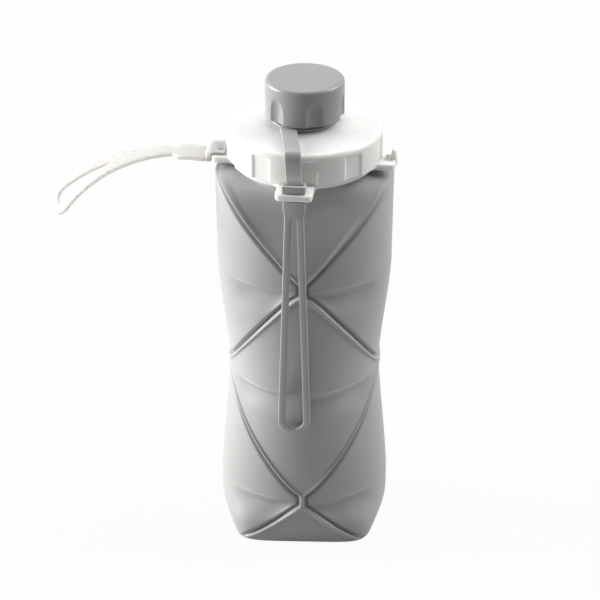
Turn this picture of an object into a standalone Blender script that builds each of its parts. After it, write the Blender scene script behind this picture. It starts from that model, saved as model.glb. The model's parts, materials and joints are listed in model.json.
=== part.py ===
"""Collapsible silicone water bottle: a fold body, a screw lid, a screw cap and two strap loops.

Metres, +Z up. The bottle stands on z = 0 with its axis on the Z axis and its front facing -Y.
An azimuth is measured from the front, positive towards +X.
"""

import math

import bmesh
import bpy
from mathutils import Matrix, Vector

# Clearances between pieces
SEAT_GAP = 0.0003
THREAD_GAP = 0.0006
WALL_GAP = 0.0004

# Fold body: heights of the rows of fold corners, and radii at the corners and at the bulges
SHOULDER_TOP = 0.1700
UPPER_CORNER_Z = 0.1265
MIDDLE_CORNER_Z = 0.0795
LOWER_CORNER_Z = 0.0230
SHOULDER_RADIUS = 0.0376
BULGE_INSET = 0.0004
CORNER_RADIUS = 0.0323
FOOT_RADIUS = 0.0366
BODY_WALL = 0.0025
FLOOR_THICKNESS = 0.0030
BASE_HALF_WIDTH = 0.0300
BASE_SQUARENESS = 6.0
FOOT_ROUNDING = 0.0155
FOOT_FADE = 0.75
SHOULDER_ROUNDING = 0.0020
FOLD_SOFTNESS = 0.5
FOOT_ROW_CROWDING = 1.6
NECK_HEIGHT = 0.0046
PANEL_TOP_DROP = 0.0077
PANEL_EDGE_POWER = 2.0
UPPER_CREASE_BOW = 0.91
BELLY_CREASE_BOW = 0.70
GROOVE_HALF_WIDTH = 0.0014
GROOVE_DEPTH = 0.0011

# Rigid neck ring that the silicone neck is moulded onto
SLEEVE_WALL = 0.0020
SLEEVE_DEPTH = 0.0116
NECK_WEB = 0.0020
THREAD_STEP = 0.0018
THREAD_WALL = 0.0024
THREAD_HEIGHT = 0.0093

# Collar ring with four ears. A slot lies inside each ear's outer bar, and the front ear reaches out
# until its slot is over the carry loop
COLLAR_THICKNESS = 0.0028
COLLAR_RISE = 0.0004
EAR_COUNT = 4
EAR_TURN = math.radians(-4.6)
EAR_OVERHANG = 0.0009
EAR_WIDTH = 0.0153
EAR_FILLET = 0.0035
EAR_CORNER = 0.0022
EAR_BAR = 0.00225
SLOT_WIDTH = 0.0070
SLOT_DEPTH = 0.0025
SLOT_INSET = 0.00115
LUG_RISE = 0.0042
LUG_PROUD = 0.0005
LUG_WIDTH = 0.0060
LUG_DEPTH = 0.0031
LUG_TIP_WIDTH = 0.0030
LUG_TIP_DEPTH = 0.0018

# Lid, whose skirt reaches out over the collar
LID_OVERHANG = 0.0028
LID_WALL = 0.0048
LID_ROOF = 0.0024
LID_DOME = 0.0020
LID_DOME_POWER = 1.3
LID_THICKNESS = 0.0021
LID_EDGE = 0.0022
LID_GRIPS = 10
LID_RECESS_START = math.radians(4.0)
LID_RECESS_WIDTH = 0.0080
LID_RECESS_DEPTH = 0.0009
LID_RECESS_RIM = 0.0030
GASKET_THICKNESS = 0.0014

# Spout and cap
SPOUT_RADIUS = 0.0125
SPOUT_WALL = 0.0023
SPOUT_HEIGHT = 0.0155
SEAL_THICKNESS = 0.0006
CAP_WALL = 0.0034
CAP_FOOT_GAP = 0.0014
CAP_TOP_THICKNESS = 0.0022
CAP_EDGE = 0.0020
CAP_SCOOPS = 6
CAP_SCOOP_START = math.radians(16.0)
CAP_SCOOP_DEPTH = 0.0015
CAP_SCOOP_WIDTH = 0.0050
CAP_SCOOP_HEIGHT = 0.0126

# Tether from the spout to the front ear
TETHER_RING_WALL = 0.0018
TETHER_RING_HEIGHT = 0.0017
TETHER_WIDTH = 0.0067
TETHER_THICKNESS = 0.0015
TETHER_AZIMUTH = math.radians(-30.0)
TETHER_START = 0.0009

# Heads that sit on the front and left ears, and the loops that hang from them
HEAD_WIDTH = 0.0095
HEAD_HEIGHT = 0.0031
HEAD_DEPTH = 0.0048
POCKET_GAP = 0.0003
POCKET_DEPTH = 0.0024
TONGUE_WIDTH = 0.0063
TONGUE_DROP = 0.0006
STRAP_THICKNESS = 0.0018
STRAP_CHAMFER = 0.0004

# Head of the side loop: a plate on the left ear, a lip over the ear's edge and a small moulding hole
SIDE_HEAD_WIDTH = 0.0120
SIDE_PLATE = 0.0015
SIDE_LIP = 0.0022
SIDE_LIP_DROP = 0.0005
SIDE_HOLE_RADIUS = 0.0007
SIDE_HOLE_DEPTH = 0.0009
SIDE_HOLE_SHIFT = 0.0030

# Carry loop on the front ear: where it hangs, and its outline along its own length
CARRY_HINGE_DROP = 0.0023
CARRY_LENGTH = 0.1090
CARRY_ROOT = 0.0026
CARRY_ROOT_WIDTH = 0.0093
CARRY_NECK = 0.0060
CARRY_NECK_WIDTH = 0.0080
CARRY_END_WIDTH = 0.0138
CARRY_SLIT_START = 0.0080
CARRY_STRAND = 0.0030

# Side loop on the left ear, which stands out, droops and twists its front edge down
SIDE_HINGE_GAP = 0.00045
SIDE_HINGE_RISE = 0.0003
SIDE_LENGTH = 0.0768
SIDE_ROOT = 0.0105
SIDE_ROOT_WIDTH = 0.0120
SIDE_NECK = 0.0135
SIDE_NECK_WIDTH = 0.0062
SIDE_END_WIDTH = 0.0176
SIDE_SLIT_START = 0.0420
SIDE_STRAND = 0.0045
SIDE_START_SLOPE = math.radians(-8.0)
SIDE_END_SLOPE = math.radians(56.0)
SIDE_TWIST = math.radians(-27.0)

# Facet counts
PANEL_COLUMNS = 6
BAND_ROWS = 7
INNER_BAND_ROWS = 4
ROUND_SEGMENTS = 72
CAP_SEGMENTS = 60
ARC_STEPS = 6
SIDE_BEND_ROWS = 14

# Radii that follow from the shoulder inwards
BULGE_RADIUS = SHOULDER_RADIUS - BULGE_INSET
EAR_REACH = SHOULDER_RADIUS + EAR_OVERHANG
SLOT_RADIUS = EAR_REACH - EAR_BAR - SLOT_DEPTH / 2
LID_RADIUS = SLOT_RADIUS - SLOT_DEPTH / 2 - SLOT_INSET
COLLAR_RADIUS = LID_RADIUS - LID_OVERHANG
LID_BORE = LID_RADIUS - LID_WALL
THREAD_RADIUS = LID_BORE - WALL_GAP
COLLAR_BORE = THREAD_RADIUS + WALL_GAP
NECK_RADIUS = THREAD_RADIUS - THREAD_STEP
NECK_BORE = NECK_RADIUS - BODY_WALL
SLEEVE_RADIUS = NECK_BORE - SEAT_GAP
SPOUT_FOOT_RADIUS = SPOUT_RADIUS + SEAT_GAP + TETHER_RING_WALL
CAP_RADIUS = SPOUT_RADIUS + THREAD_GAP + CAP_WALL

# Heights that follow from the shoulder upwards
NECK_MEETS_PANEL_Z = SHOULDER_TOP - PANEL_TOP_DROP
NECK_TOP = SHOULDER_TOP + NECK_HEIGHT
NECK_RING_TOP = NECK_TOP + SEAT_GAP + THREAD_HEIGHT
COLLAR_TOP = NECK_TOP + COLLAR_RISE
COLLAR_BOTTOM = COLLAR_TOP - COLLAR_THICKNESS
LID_BOTTOM = COLLAR_TOP + SEAT_GAP
GASKET_BOTTOM = NECK_RING_TOP + SEAT_GAP
GASKET_TOP = GASKET_BOTTOM + GASKET_THICKNESS
LID_SEAT = GASKET_TOP + SEAT_GAP
LID_SHOULDER_Z = LID_SEAT + LID_ROOF
LID_CROWN_Z = LID_SHOULDER_Z + LID_DOME
SPOUT_TOP = LID_CROWN_Z + SPOUT_HEIGHT
CAP_BOTTOM = LID_CROWN_Z + SEAT_GAP + TETHER_RING_HEIGHT + CAP_FOOT_GAP
CAP_TOP = SPOUT_TOP + 2 * SEAT_GAP + SEAL_THICKNESS + CAP_TOP_THICKNESS

# Places of the heads and the loops
FRONT_EAR = EAR_TURN
LEFT_EAR = EAR_TURN - math.pi / 2
RIGHT_EAR = EAR_TURN + math.pi / 2
CARRY_RADIUS = BULGE_RADIUS + SEAT_GAP + STRAP_THICKNESS / 2
FRONT_EAR_REACH = CARRY_RADIUS + SLOT_DEPTH / 2 + EAR_BAR
SIDE_HEAD_BACK = LID_RADIUS + WALL_GAP
HEAD_BOTTOM = COLLAR_TOP + SEAT_GAP
HEAD_TOP = HEAD_BOTTOM + HEAD_HEIGHT
CARRY_HINGE_Z = COLLAR_BOTTOM - CARRY_HINGE_DROP
SIDE_HEAD_TOP = HEAD_BOTTOM + SIDE_PLATE
SIDE_HEAD_BOTTOM = COLLAR_BOTTOM - SIDE_LIP_DROP
SIDE_HEAD_FRONT = EAR_REACH + SEAT_GAP + SIDE_LIP
SIDE_HINGE_Z = COLLAR_BOTTOM + SIDE_HINGE_RISE
SIDE_HINGE_RADIUS = SIDE_HEAD_FRONT + STRAP_THICKNESS / 2 + SIDE_HINGE_GAP


def empty_scene():
    for obj in list(bpy.data.objects):
        bpy.data.objects.remove(obj)


def new_collection(name):
    collection = bpy.data.collections.new(name)
    bpy.context.scene.collection.children.link(collection)
    return collection


def new_material(name, colour, roughness):
    material = bpy.data.materials.new(name)
    material.use_nodes = True
    shader = material.node_tree.nodes["Principled BSDF"]
    shader.inputs["Base Color"].default_value = (*colour, 1.0)
    shader.inputs["Roughness"].default_value = roughness
    shader.inputs["Metallic"].default_value = 0.0
    return material


def around(azimuth, radius, height):
    """The point at this azimuth, radius and height."""
    return Vector((radius * math.sin(azimuth), -radius * math.cos(azimuth), height))


def facing(azimuth):
    """Turns local -Y to this azimuth, so local X runs along the rim there."""
    return Matrix.Rotation(azimuth, 4, "Z")


def add_object(name, mesh, collection, material=None):
    obj = bpy.data.objects.new(name, mesh)
    collection.objects.link(obj)
    if material:
        mesh.materials.append(material)
    return obj


def mesh_of(name, build):
    """A mesh that build fills as a bmesh, with its faces pointing out."""
    shape = bmesh.new()
    build(shape)
    bmesh.ops.recalc_face_normals(shape, faces=shape.faces)
    mesh = bpy.data.meshes.new(name)
    shape.to_mesh(mesh)
    shape.free()
    return mesh


def smooth(mesh, sharp_angle=math.radians(35)):
    mesh.shade_smooth()
    mesh.set_sharp_from_angle(angle=sharp_angle)


def turned(name, profile, segments, collection, material=None):
    """A profile of (radius, height) points, turned round the Z axis."""
    mesh = bpy.data.meshes.new(name)
    points = [(radius, 0.0, height) for radius, height in profile]
    last = len(points) - 1
    edges = [(index, index + 1) for index in range(last)]
    if profile[0][0] > 0:
        edges.append((last, 0))
    mesh.from_pydata(points, edges, [])
    obj = add_object(name, mesh, collection, material)
    screw = obj.modifiers.new("turn", "SCREW")
    screw.steps = segments
    screw.render_steps = segments
    screw.use_merge_vertices = True
    screw.merge_threshold = 0.00001
    screw.use_smooth_shade = True
    return obj


def block(name, size, place, collection, material=None):
    """A box of this size, centred in the local frame and placed by a matrix."""

    def build(shape):
        bmesh.ops.create_cube(shape, size=1.0)
        bmesh.ops.scale(shape, vec=size, verts=shape.verts)

    obj = add_object(name, mesh_of(name, build), collection, material)
    obj.matrix_world = place
    return obj


def combine(obj, other, operation):
    boolean = obj.modifiers.new(other.name, "BOOLEAN")
    boolean.operation = operation
    boolean.object = other
    other.hide_render = True
    other.display_type = "WIRE"


def arc(centre, radius, start, end, steps):
    """Points of an arc in a plane, from one angle to another."""
    points = []
    for step in range(steps + 1):
        angle = start + (end - start) * step / steps
        points.append((centre[0] + radius * math.cos(angle), centre[1] + radius * math.sin(angle)))
    return points


def plate_mesh(name, outlines, thickness, chamfer):
    """A flat plate between closed outlines in its own XY plane, holes included, as a closed mesh."""
    curve = bpy.data.curves.new(name, "CURVE")
    curve.dimensions = "2D"
    curve.fill_mode = "BOTH"
    curve.extrude = thickness / 2 - chamfer
    curve.bevel_depth = chamfer
    curve.bevel_resolution = 0
    curve.offset = -chamfer
    for outline in outlines:
        spline = curve.splines.new("POLY")
        spline.points.add(len(outline) - 1)
        for point, (x, y) in zip(spline.points, outline):
            point.co = (x, y, 0.0, 1.0)
        spline.use_cyclic_u = True
    guide = bpy.data.objects.new(name + "_guide", curve)
    bpy.context.scene.collection.objects.link(guide)
    bpy.context.view_layer.update()
    graph = bpy.context.evaluated_depsgraph_get()
    mesh = bpy.data.meshes.new_from_object(guide.evaluated_get(graph))
    bpy.data.objects.remove(guide)
    shape = bmesh.new()
    shape.from_mesh(mesh)
    bmesh.ops.remove_doubles(shape, verts=shape.verts, dist=0.000001)
    bmesh.ops.recalc_face_normals(shape, faces=shape.faces)
    shape.to_mesh(mesh)
    shape.free()
    mesh.name = name
    return mesh


# The fold body


def eased(share):
    """A share from 0 to 1 whose ends are softened, so that a fold isn't knife sharp."""
    soft = share * share * (3.0 - 2.0 * share)
    return share + FOLD_SOFTNESS * (soft - share)


def between(levels, height):
    """The values at this height, read between levels of (height, value, value, ...)."""
    if height <= levels[0][0]:
        return levels[0][1:]
    for low, high in zip(levels, levels[1:]):
        if height <= high[0]:
            share = (height - low[0]) / (high[0] - low[0])
            return tuple(a + (b - a) * share for a, b in zip(low[1:], high[1:]))
    return levels[-1][1:]


def side_and_front(height):
    """Half widths of the body across the sides and across the front, which swell in turn."""
    levels = (
        (LOWER_CORNER_Z, FOOT_RADIUS, CORNER_RADIUS),
        (MIDDLE_CORNER_Z, CORNER_RADIUS, BULGE_RADIUS),
        (UPPER_CORNER_Z, BULGE_RADIUS, CORNER_RADIUS),
        (SHOULDER_TOP, SHOULDER_RADIUS, SHOULDER_RADIUS),
    )
    heights = [level[0] for level in levels]
    for low, high in zip(heights, heights[1:]):
        if low <= height <= high:
            height = low + (high - low) * eased((height - low) / (high - low))
            break
    return between(levels, height)


def crease_angle(height):
    """Angle from the front, or from the back, at which the crease crosses this height."""
    quarter = math.pi / 2
    levels = (
        (0.0, 0.5),
        (LOWER_CORNER_Z, 0.0),
        (MIDDLE_CORNER_Z, 1.0),
        (UPPER_CORNER_Z, 0.0),
        (SHOULDER_TOP, 1.0),
    )
    share = between(levels, height)[0]
    if height <= LOWER_CORNER_Z:
        return quarter * share
    return math.asin(share ** crease_bow(height))


def crease_bow(height):
    """Power that bows the creases of this band. With a power of 1 they look straight from the front."""
    return UPPER_CREASE_BOW if height > UPPER_CORNER_Z else BELLY_CREASE_BOW


def oval_radius(angle, side, front):
    return 1.0 / math.hypot(math.cos(angle) / front, math.sin(angle) / side)


def base_radius(angle):
    """Radius of the rounded square that the bottle stands on."""
    power = BASE_SQUARENESS
    reach = abs(math.cos(angle)) ** power + abs(math.sin(angle)) ** power
    return BASE_HALF_WIDTH / reach ** (1.0 / power)


def foot_radius(angle, height, oval):
    """Outer radius under the lowest fold corners, where the square base fades into the oval body."""
    swell = math.sin(math.pi / 2 * min(height / FOOT_ROUNDING, 1.0))
    foot = base_radius(angle) * (1.0 + (oval / BASE_HALF_WIDTH - 1.0) * swell)
    return foot + (oval - foot) * (height / LOWER_CORNER_Z) ** FOOT_FADE


def body_radius(angle, height):
    """Outer radius of the fold body. The angle runs from 0 at the front or back to 90 degrees at a side."""
    side, front = side_and_front(height)
    radius = oval_radius(angle, side, front)
    if height < LOWER_CORNER_Z:
        radius = foot_radius(angle, height, radius)
    if height > UPPER_CORNER_Z:
        crease = crease_angle(height)
        if angle < crease:
            slope = (CORNER_RADIUS - NECK_RADIUS) / (NECK_MEETS_PANEL_Z - UPPER_CORNER_Z)
            panel = CORNER_RADIUS - slope * (height - UPPER_CORNER_Z)
            edge = oval_radius(crease, side, front)
            radius = panel + (edge - panel) * (angle / crease) ** PANEL_EDGE_POWER
        above = max(0.0, height - SHOULDER_TOP + SHOULDER_ROUNDING) / SHOULDER_ROUNDING
        radius -= SHOULDER_ROUNDING * (1.0 - math.sqrt(max(0.0, 1.0 - above * above)))
    return max(radius, NECK_RADIUS)


def quarter_angles(height):
    """Angles of one quarter's columns at this height. They follow the crease, so they crowd at a corner."""
    crease = crease_angle(height)
    half = GROOVE_HALF_WIDTH / CORNER_RADIUS
    near = max(crease - half, 0.0)
    far = min(crease + half, math.pi / 2)
    front = [near * index / PANEL_COLUMNS for index in range(PANEL_COLUMNS)]
    side = [far + (math.pi / 2 - far) * index / PANEL_COLUMNS for index in range(1, PANEL_COLUMNS + 1)]
    return front + [near, crease, far] + side


def groove_share(angle, height):
    """How deep the crease's groove is here, from 0 at its edge to 1 along its line."""
    away = abs(angle - crease_angle(height)) * CORNER_RADIUS
    return max(0.0, 1.0 - away / GROOVE_HALF_WIDTH)


def body_ring(shape, height, inset, groove, least):
    """One closed ring of vertices at this height, shrunk by inset but never under the least radius."""
    quarter = quarter_angles(height)
    half = [(angle, angle) for angle in quarter]
    half += [(math.pi - angle, angle) for angle in reversed(quarter[:-1])]
    other = [(2 * math.pi - azimuth, angle) for azimuth, angle in reversed(half[1:-1])]
    ring = []
    for azimuth, angle in half + other:
        radius = body_radius(angle, height) - inset - groove * groove_share(angle, height)
        ring.append(shape.verts.new(around(azimuth, max(radius, least), height)))
    return ring


def band_heights(rows, bottom, top):
    """Heights of the rows from bottom to top. A crease turns by equal steps from row to row."""
    first = rows + 1
    heights = []
    for index in range(first):
        heights.append(bottom + (LOWER_CORNER_Z - bottom) * (index / first) ** FOOT_ROW_CROWDING)
    bands = (
        (LOWER_CORNER_Z, MIDDLE_CORNER_Z, BELLY_CREASE_BOW),
        (UPPER_CORNER_Z, MIDDLE_CORNER_Z, BELLY_CREASE_BOW),
        (UPPER_CORNER_Z, top, UPPER_CREASE_BOW),
    )
    for front_corner, side_corner, bow in bands:
        for index in range(rows + 1):
            share = math.sin(math.pi / 2 * index / rows) ** (1.0 / bow)
            heights.append(front_corner + (side_corner - front_corner) * share)
    return sorted(set(heights))


def bridge(shape, low, high):
    """Quads between two rings of equal count."""
    count = len(low)
    for index in range(count):
        after = (index + 1) % count
        shape.faces.new((low[index], low[after], high[after], high[index]))


def build_body(shape):
    """The folded wall: an outer skin with its creases, a plainer inner skin, and the open neck."""
    outer = []
    for height in band_heights(BAND_ROWS, 0.0, SHOULDER_TOP):
        outer.append(body_ring(shape, height, 0.0, GROOVE_DEPTH, NECK_RADIUS))
    inner = []
    for height in band_heights(INNER_BAND_ROWS, FLOOR_THICKNESS, SHOULDER_TOP - BODY_WALL):
        inner.append(body_ring(shape, height, BODY_WALL, 0.0, NECK_BORE))
    for height in (SHOULDER_TOP + SHOULDER_ROUNDING / 2, NECK_TOP):
        outer.append(neck_ring_over(shape, outer[-1], NECK_RADIUS, height))
    for height in (SHOULDER_TOP - BODY_WALL / 2, NECK_TOP):
        inner.append(neck_ring_over(shape, inner[-1], NECK_BORE, height))
    for skin in (outer, inner):
        for low, high in zip(skin, skin[1:]):
            bridge(shape, low, high)
    bridge(shape, outer[-1], inner[-1])
    shape.faces.new(outer[0])
    shape.faces.new(inner[0])
    bmesh.ops.remove_doubles(shape, verts=shape.verts, dist=0.00002)


def neck_ring_over(shape, below, radius, height):
    """A round ring with each vertex over the one below it."""
    ring = []
    for vert in below:
        azimuth = math.atan2(vert.co.x, -vert.co.y)
        ring.append(shape.verts.new(around(azimuth, radius, height)))
    return ring


def make_body(parts, silicone):
    mesh = mesh_of("bottle_body", build_body)
    smooth(mesh, math.radians(28))
    return add_object("bottle_body", mesh, parts, silicone)


# Neck ring, collar, lid and cap


def make_neck_ring(parts, plastic):
    profile = (
        (THREAD_RADIUS, NECK_RING_TOP),
        (THREAD_RADIUS, NECK_TOP + SEAT_GAP),
        (SLEEVE_RADIUS, NECK_TOP + SEAT_GAP),
        (SLEEVE_RADIUS, NECK_TOP - SLEEVE_DEPTH),
        (SLEEVE_RADIUS - SLEEVE_WALL, NECK_TOP - SLEEVE_DEPTH),
        (SLEEVE_RADIUS - SLEEVE_WALL, NECK_TOP + SEAT_GAP + NECK_WEB),
        (THREAD_RADIUS - THREAD_WALL, NECK_TOP + SEAT_GAP + NECK_WEB),
        (THREAD_RADIUS - THREAD_WALL, NECK_RING_TOP),
    )
    return turned("neck_ring", profile, ROUND_SEGMENTS, parts, plastic)


def ear_outline(reach):
    """Outline of one ear that points along +Y: a concave fillet, a rounded corner, and the same mirrored."""
    fillet_x = EAR_WIDTH / 2 + EAR_FILLET
    fillet_y = math.sqrt((COLLAR_RADIUS + EAR_FILLET) ** 2 - fillet_x**2)
    start = math.atan2(-fillet_y, -fillet_x)
    left_corner = (-EAR_WIDTH / 2 + EAR_CORNER, reach - EAR_CORNER)
    right = arc((fillet_x, fillet_y), EAR_FILLET, start, -math.pi, ARC_STEPS)
    right += [(-x, y) for x, y in arc(left_corner, EAR_CORNER, math.pi, math.pi / 2, ARC_STEPS)]
    left = [(-x, y) for x, y in reversed(right)]
    return right + left


def collar_outlines():
    """Outer outline, bore and the ear slots, in a plane whose +Y is the front ear."""
    ear = ear_outline(EAR_REACH)
    ear_start = math.atan2(ear[0][1], ear[0][0])
    ear_end = math.atan2(ear[-1][1], ear[-1][0])
    turn = 2 * math.pi / EAR_COUNT
    gap = turn - (ear_end - ear_start)
    outer = []
    slots = []
    rim = arc((0, 0), COLLAR_RADIUS, ear_end, ear_end + gap, 10)[1:-1]
    for index in range(EAR_COUNT):
        reach = EAR_REACH if index else FRONT_EAR_REACH
        slot_centre = (0.0, reach - EAR_BAR - SLOT_DEPTH / 2)
        slot = rounded_rectangle(SLOT_WIDTH, SLOT_DEPTH, slot_centre, SLOT_DEPTH / 4)
        outer += rotated(ear_outline(reach) + rim, turn * index)
        slots.append(rotated(slot, turn * index))
    bore = arc((0, 0), COLLAR_BORE, 0.0, 2 * math.pi, ROUND_SEGMENTS)[:-1]
    return [outer, bore] + slots


def rotated(points, angle):
    cosine = math.cos(angle)
    sine = math.sin(angle)
    return [(x * cosine - y * sine, x * sine + y * cosine) for x, y in points]


def rounded_rectangle(width, depth, centre, corner):
    points = []
    for index, (across, along) in enumerate(((1, 1), (-1, 1), (-1, -1), (1, -1))):
        place = (
            centre[0] + across * (width / 2 - corner),
            centre[1] + along * (depth / 2 - corner),
        )
        start = index * math.pi / 2
        points += arc(place, corner, start, start + math.pi / 2, 3)
    return points


def make_collar(parts, cutters, plastic):
    mesh = plate_mesh("collar_ring", collar_outlines(), COLLAR_THICKNESS, STRAP_CHAMFER)
    collar = add_object("collar_ring", mesh, parts, plastic)
    height = (COLLAR_TOP + COLLAR_BOTTOM) / 2
    collar.matrix_world = Matrix.Translation((0, 0, height)) @ Matrix.Rotation(math.pi + EAR_TURN, 4, "Z")
    combine(collar, make_lug(cutters), "UNION")
    return collar


def make_lug(cutters):
    """The pointed lug that stands on the outer bar of the right ear and runs down its edge."""
    height = LUG_RISE + COLLAR_THICKNESS - STRAP_CHAMFER

    def build(shape):
        bmesh.ops.create_cube(shape, size=1.0)
        bmesh.ops.scale(shape, vec=(LUG_WIDTH, LUG_DEPTH, height), verts=shape.verts)
        for vert in shape.verts:
            if vert.co.z > 0:
                vert.co.x *= LUG_TIP_WIDTH / LUG_WIDTH
                vert.co.y *= LUG_TIP_DEPTH / LUG_DEPTH

    lug = add_object("lug", mesh_of("lug", build), cutters)
    radius = EAR_REACH + LUG_PROUD - LUG_DEPTH / 2
    place = around(RIGHT_EAR, radius, COLLAR_TOP + LUG_RISE - height / 2)
    lug.matrix_world = Matrix.Translation(place) @ facing(RIGHT_EAR)
    return lug


def lid_top(radius):
    """Height of the lid's domed top at this radius."""
    shoulder = LID_RADIUS - LID_EDGE
    share = min(max((radius - SPOUT_FOOT_RADIUS) / (shoulder - SPOUT_FOOT_RADIUS), 0.0), 1.0)
    return LID_CROWN_Z - LID_DOME * share**LID_DOME_POWER


def make_lid(parts, cutters, plastic):
    spout_bore = SPOUT_RADIUS - SPOUT_WALL
    shoulder = LID_RADIUS - LID_EDGE
    profile = [(SPOUT_RADIUS, SPOUT_TOP), (SPOUT_RADIUS, LID_CROWN_Z)]
    for step in range(ARC_STEPS + 1):
        radius = SPOUT_FOOT_RADIUS + (shoulder - SPOUT_FOOT_RADIUS) * step / ARC_STEPS
        profile.append((radius, lid_top(radius)))
    edge = arc((shoulder, LID_SHOULDER_Z - LID_EDGE), LID_EDGE, math.pi / 2, 0.0, ARC_STEPS)
    profile += edge[1:]
    profile += [
        (LID_RADIUS, LID_BOTTOM),
        (LID_BORE, LID_BOTTOM),
        (LID_BORE, LID_SEAT),
        (THREAD_RADIUS - THREAD_WALL - SLEEVE_WALL, LID_SEAT),
        (SPOUT_RADIUS, LID_CROWN_Z - LID_THICKNESS),
        (spout_bore, LID_CROWN_Z - LID_THICKNESS),
        (spout_bore, SPOUT_TOP),
    ]
    lid = turned("lid", profile, ROUND_SEGMENTS, parts, plastic)
    recess_top = LID_SHOULDER_Z - LID_RECESS_RIM
    height = recess_top - LID_BOTTOM + 2 * LID_EDGE
    for index in range(LID_GRIPS):
        azimuth = LID_RECESS_START + 2 * math.pi * index / LID_GRIPS
        centre = around(azimuth, LID_RADIUS - LID_RECESS_DEPTH + LID_EDGE, recess_top - height / 2)
        size = (LID_RECESS_WIDTH, 2 * LID_EDGE, height)
        place = Matrix.Translation(centre) @ facing(azimuth)
        cutter = block(f"lid_recess_{index + 1}", size, place, cutters)
        combine(lid, cutter, "DIFFERENCE")
    return lid


def make_gasket(parts, rubber):
    profile = (
        (THREAD_RADIUS, GASKET_TOP),
        (THREAD_RADIUS, GASKET_BOTTOM),
        (THREAD_RADIUS - THREAD_WALL, GASKET_BOTTOM),
        (THREAD_RADIUS - THREAD_WALL, GASKET_TOP),
    )
    return turned("lid_gasket", profile, ROUND_SEGMENTS, parts, rubber)


def make_cap(parts, cutters, plastic):
    bore = SPOUT_RADIUS + THREAD_GAP
    ceiling = CAP_TOP - CAP_TOP_THICKNESS
    edge = arc((CAP_RADIUS - CAP_EDGE, CAP_TOP - CAP_EDGE), CAP_EDGE, math.pi / 2, 0.0, ARC_STEPS)
    profile = [(0.0, CAP_TOP)] + edge
    profile += [(CAP_RADIUS, CAP_BOTTOM), (bore, CAP_BOTTOM), (bore, ceiling), (0.0, ceiling)]
    cap = turned("cap", profile, CAP_SEGMENTS, parts, plastic)
    for index in range(CAP_SCOOPS):
        azimuth = CAP_SCOOP_START + 2 * math.pi * index / CAP_SCOOPS
        combine(cap, make_scoop(cutters, azimuth, index), "DIFFERENCE")
    return cap


def make_scoop(cutters, azimuth, index):
    """An egg-shaped cutter whose upper half leaves a finger scoop with an arched top."""
    width = CAP_SCOOP_WIDTH

    def build(shape):
        bmesh.ops.create_uvsphere(shape, u_segments=20, v_segments=14, radius=1.0)
        bmesh.ops.scale(shape, vec=(width, width, CAP_SCOOP_HEIGHT), verts=shape.verts)

    name = f"cap_scoop_{index + 1}"
    scoop = add_object(name, mesh_of(name, build), cutters)
    place = around(azimuth, CAP_RADIUS - CAP_SCOOP_DEPTH + width, CAP_BOTTOM)
    scoop.matrix_world = Matrix.Translation(place) @ facing(azimuth)
    return scoop


def make_cap_seal(parts, rubber):
    """The disc in the cap's ceiling that the spout presses on."""
    radius = SPOUT_RADIUS + SEAT_GAP
    height = SPOUT_TOP + SEAT_GAP + SEAL_THICKNESS / 2

    def build(shape):
        bmesh.ops.create_cone(
            shape,
            cap_ends=True,
            segments=CAP_SEGMENTS,
            radius1=radius,
            radius2=radius,
            depth=SEAL_THICKNESS,
        )

    mesh = mesh_of("cap_seal", build)
    smooth(mesh)
    seal = add_object("cap_seal", mesh, parts, rubber)
    seal.location = (0, 0, height)
    return seal


# Tether, heads and loops


def tether_path():
    """Points of the tether's centre line with the direction of its width at each."""
    rise = SEAT_GAP + TETHER_THICKNESS / 2
    ring_middle = SPOUT_RADIUS + SEAT_GAP + TETHER_RING_WALL / 2
    start = around(TETHER_AZIMUTH, ring_middle, 0.0)
    end = around(FRONT_EAR, CARRY_RADIUS, 0.0)
    along = (end - start).normalized()
    start += along * TETHER_START
    flat_part = (LID_RADIUS - LID_EDGE - start.length) / (end.length - start.length)
    flat_length = (end - start).length * flat_part
    over_lid = [flat_length * share for share in (0.0, 0.25, 0.5, 0.75, 0.97)]
    points = []
    for distance in over_lid:
        point = start + along * distance
        points.append((point, lid_top(point.length) + rise))
    rim = LID_RADIUS + SEAT_GAP + TETHER_THICKNESS / 2
    down = (
        (rim - 0.0014, LID_SHOULDER_Z + rise - 0.0001),
        (rim - 0.0002, LID_SHOULDER_Z - 0.0004),
        (rim + 0.0007, LID_SHOULDER_Z - LID_EDGE - 0.0010),
        (rim + 0.0026, LID_SHOULDER_Z - 0.0070),
        (end.length, HEAD_TOP + SEAT_GAP),
        (end.length, HEAD_TOP - POCKET_DEPTH + SEAT_GAP),
    )
    reach_start = start.length
    for radius, height in down:
        share = (radius - reach_start) / (end.length - reach_start)
        points.append((start + (end - start) * share, height))
    path = []
    across_start = along.cross(Vector((0, 0, 1)))
    across_end = around(FRONT_EAR + math.pi / 2, 1.0, 0.0)
    for index, (point, height) in enumerate(points):
        share = index / (len(points) - 1)
        across = across_end * share - across_start * (1 - share)
        path.append((Vector((point.x, point.y, height)), across.normalized()))
    return path


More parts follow.
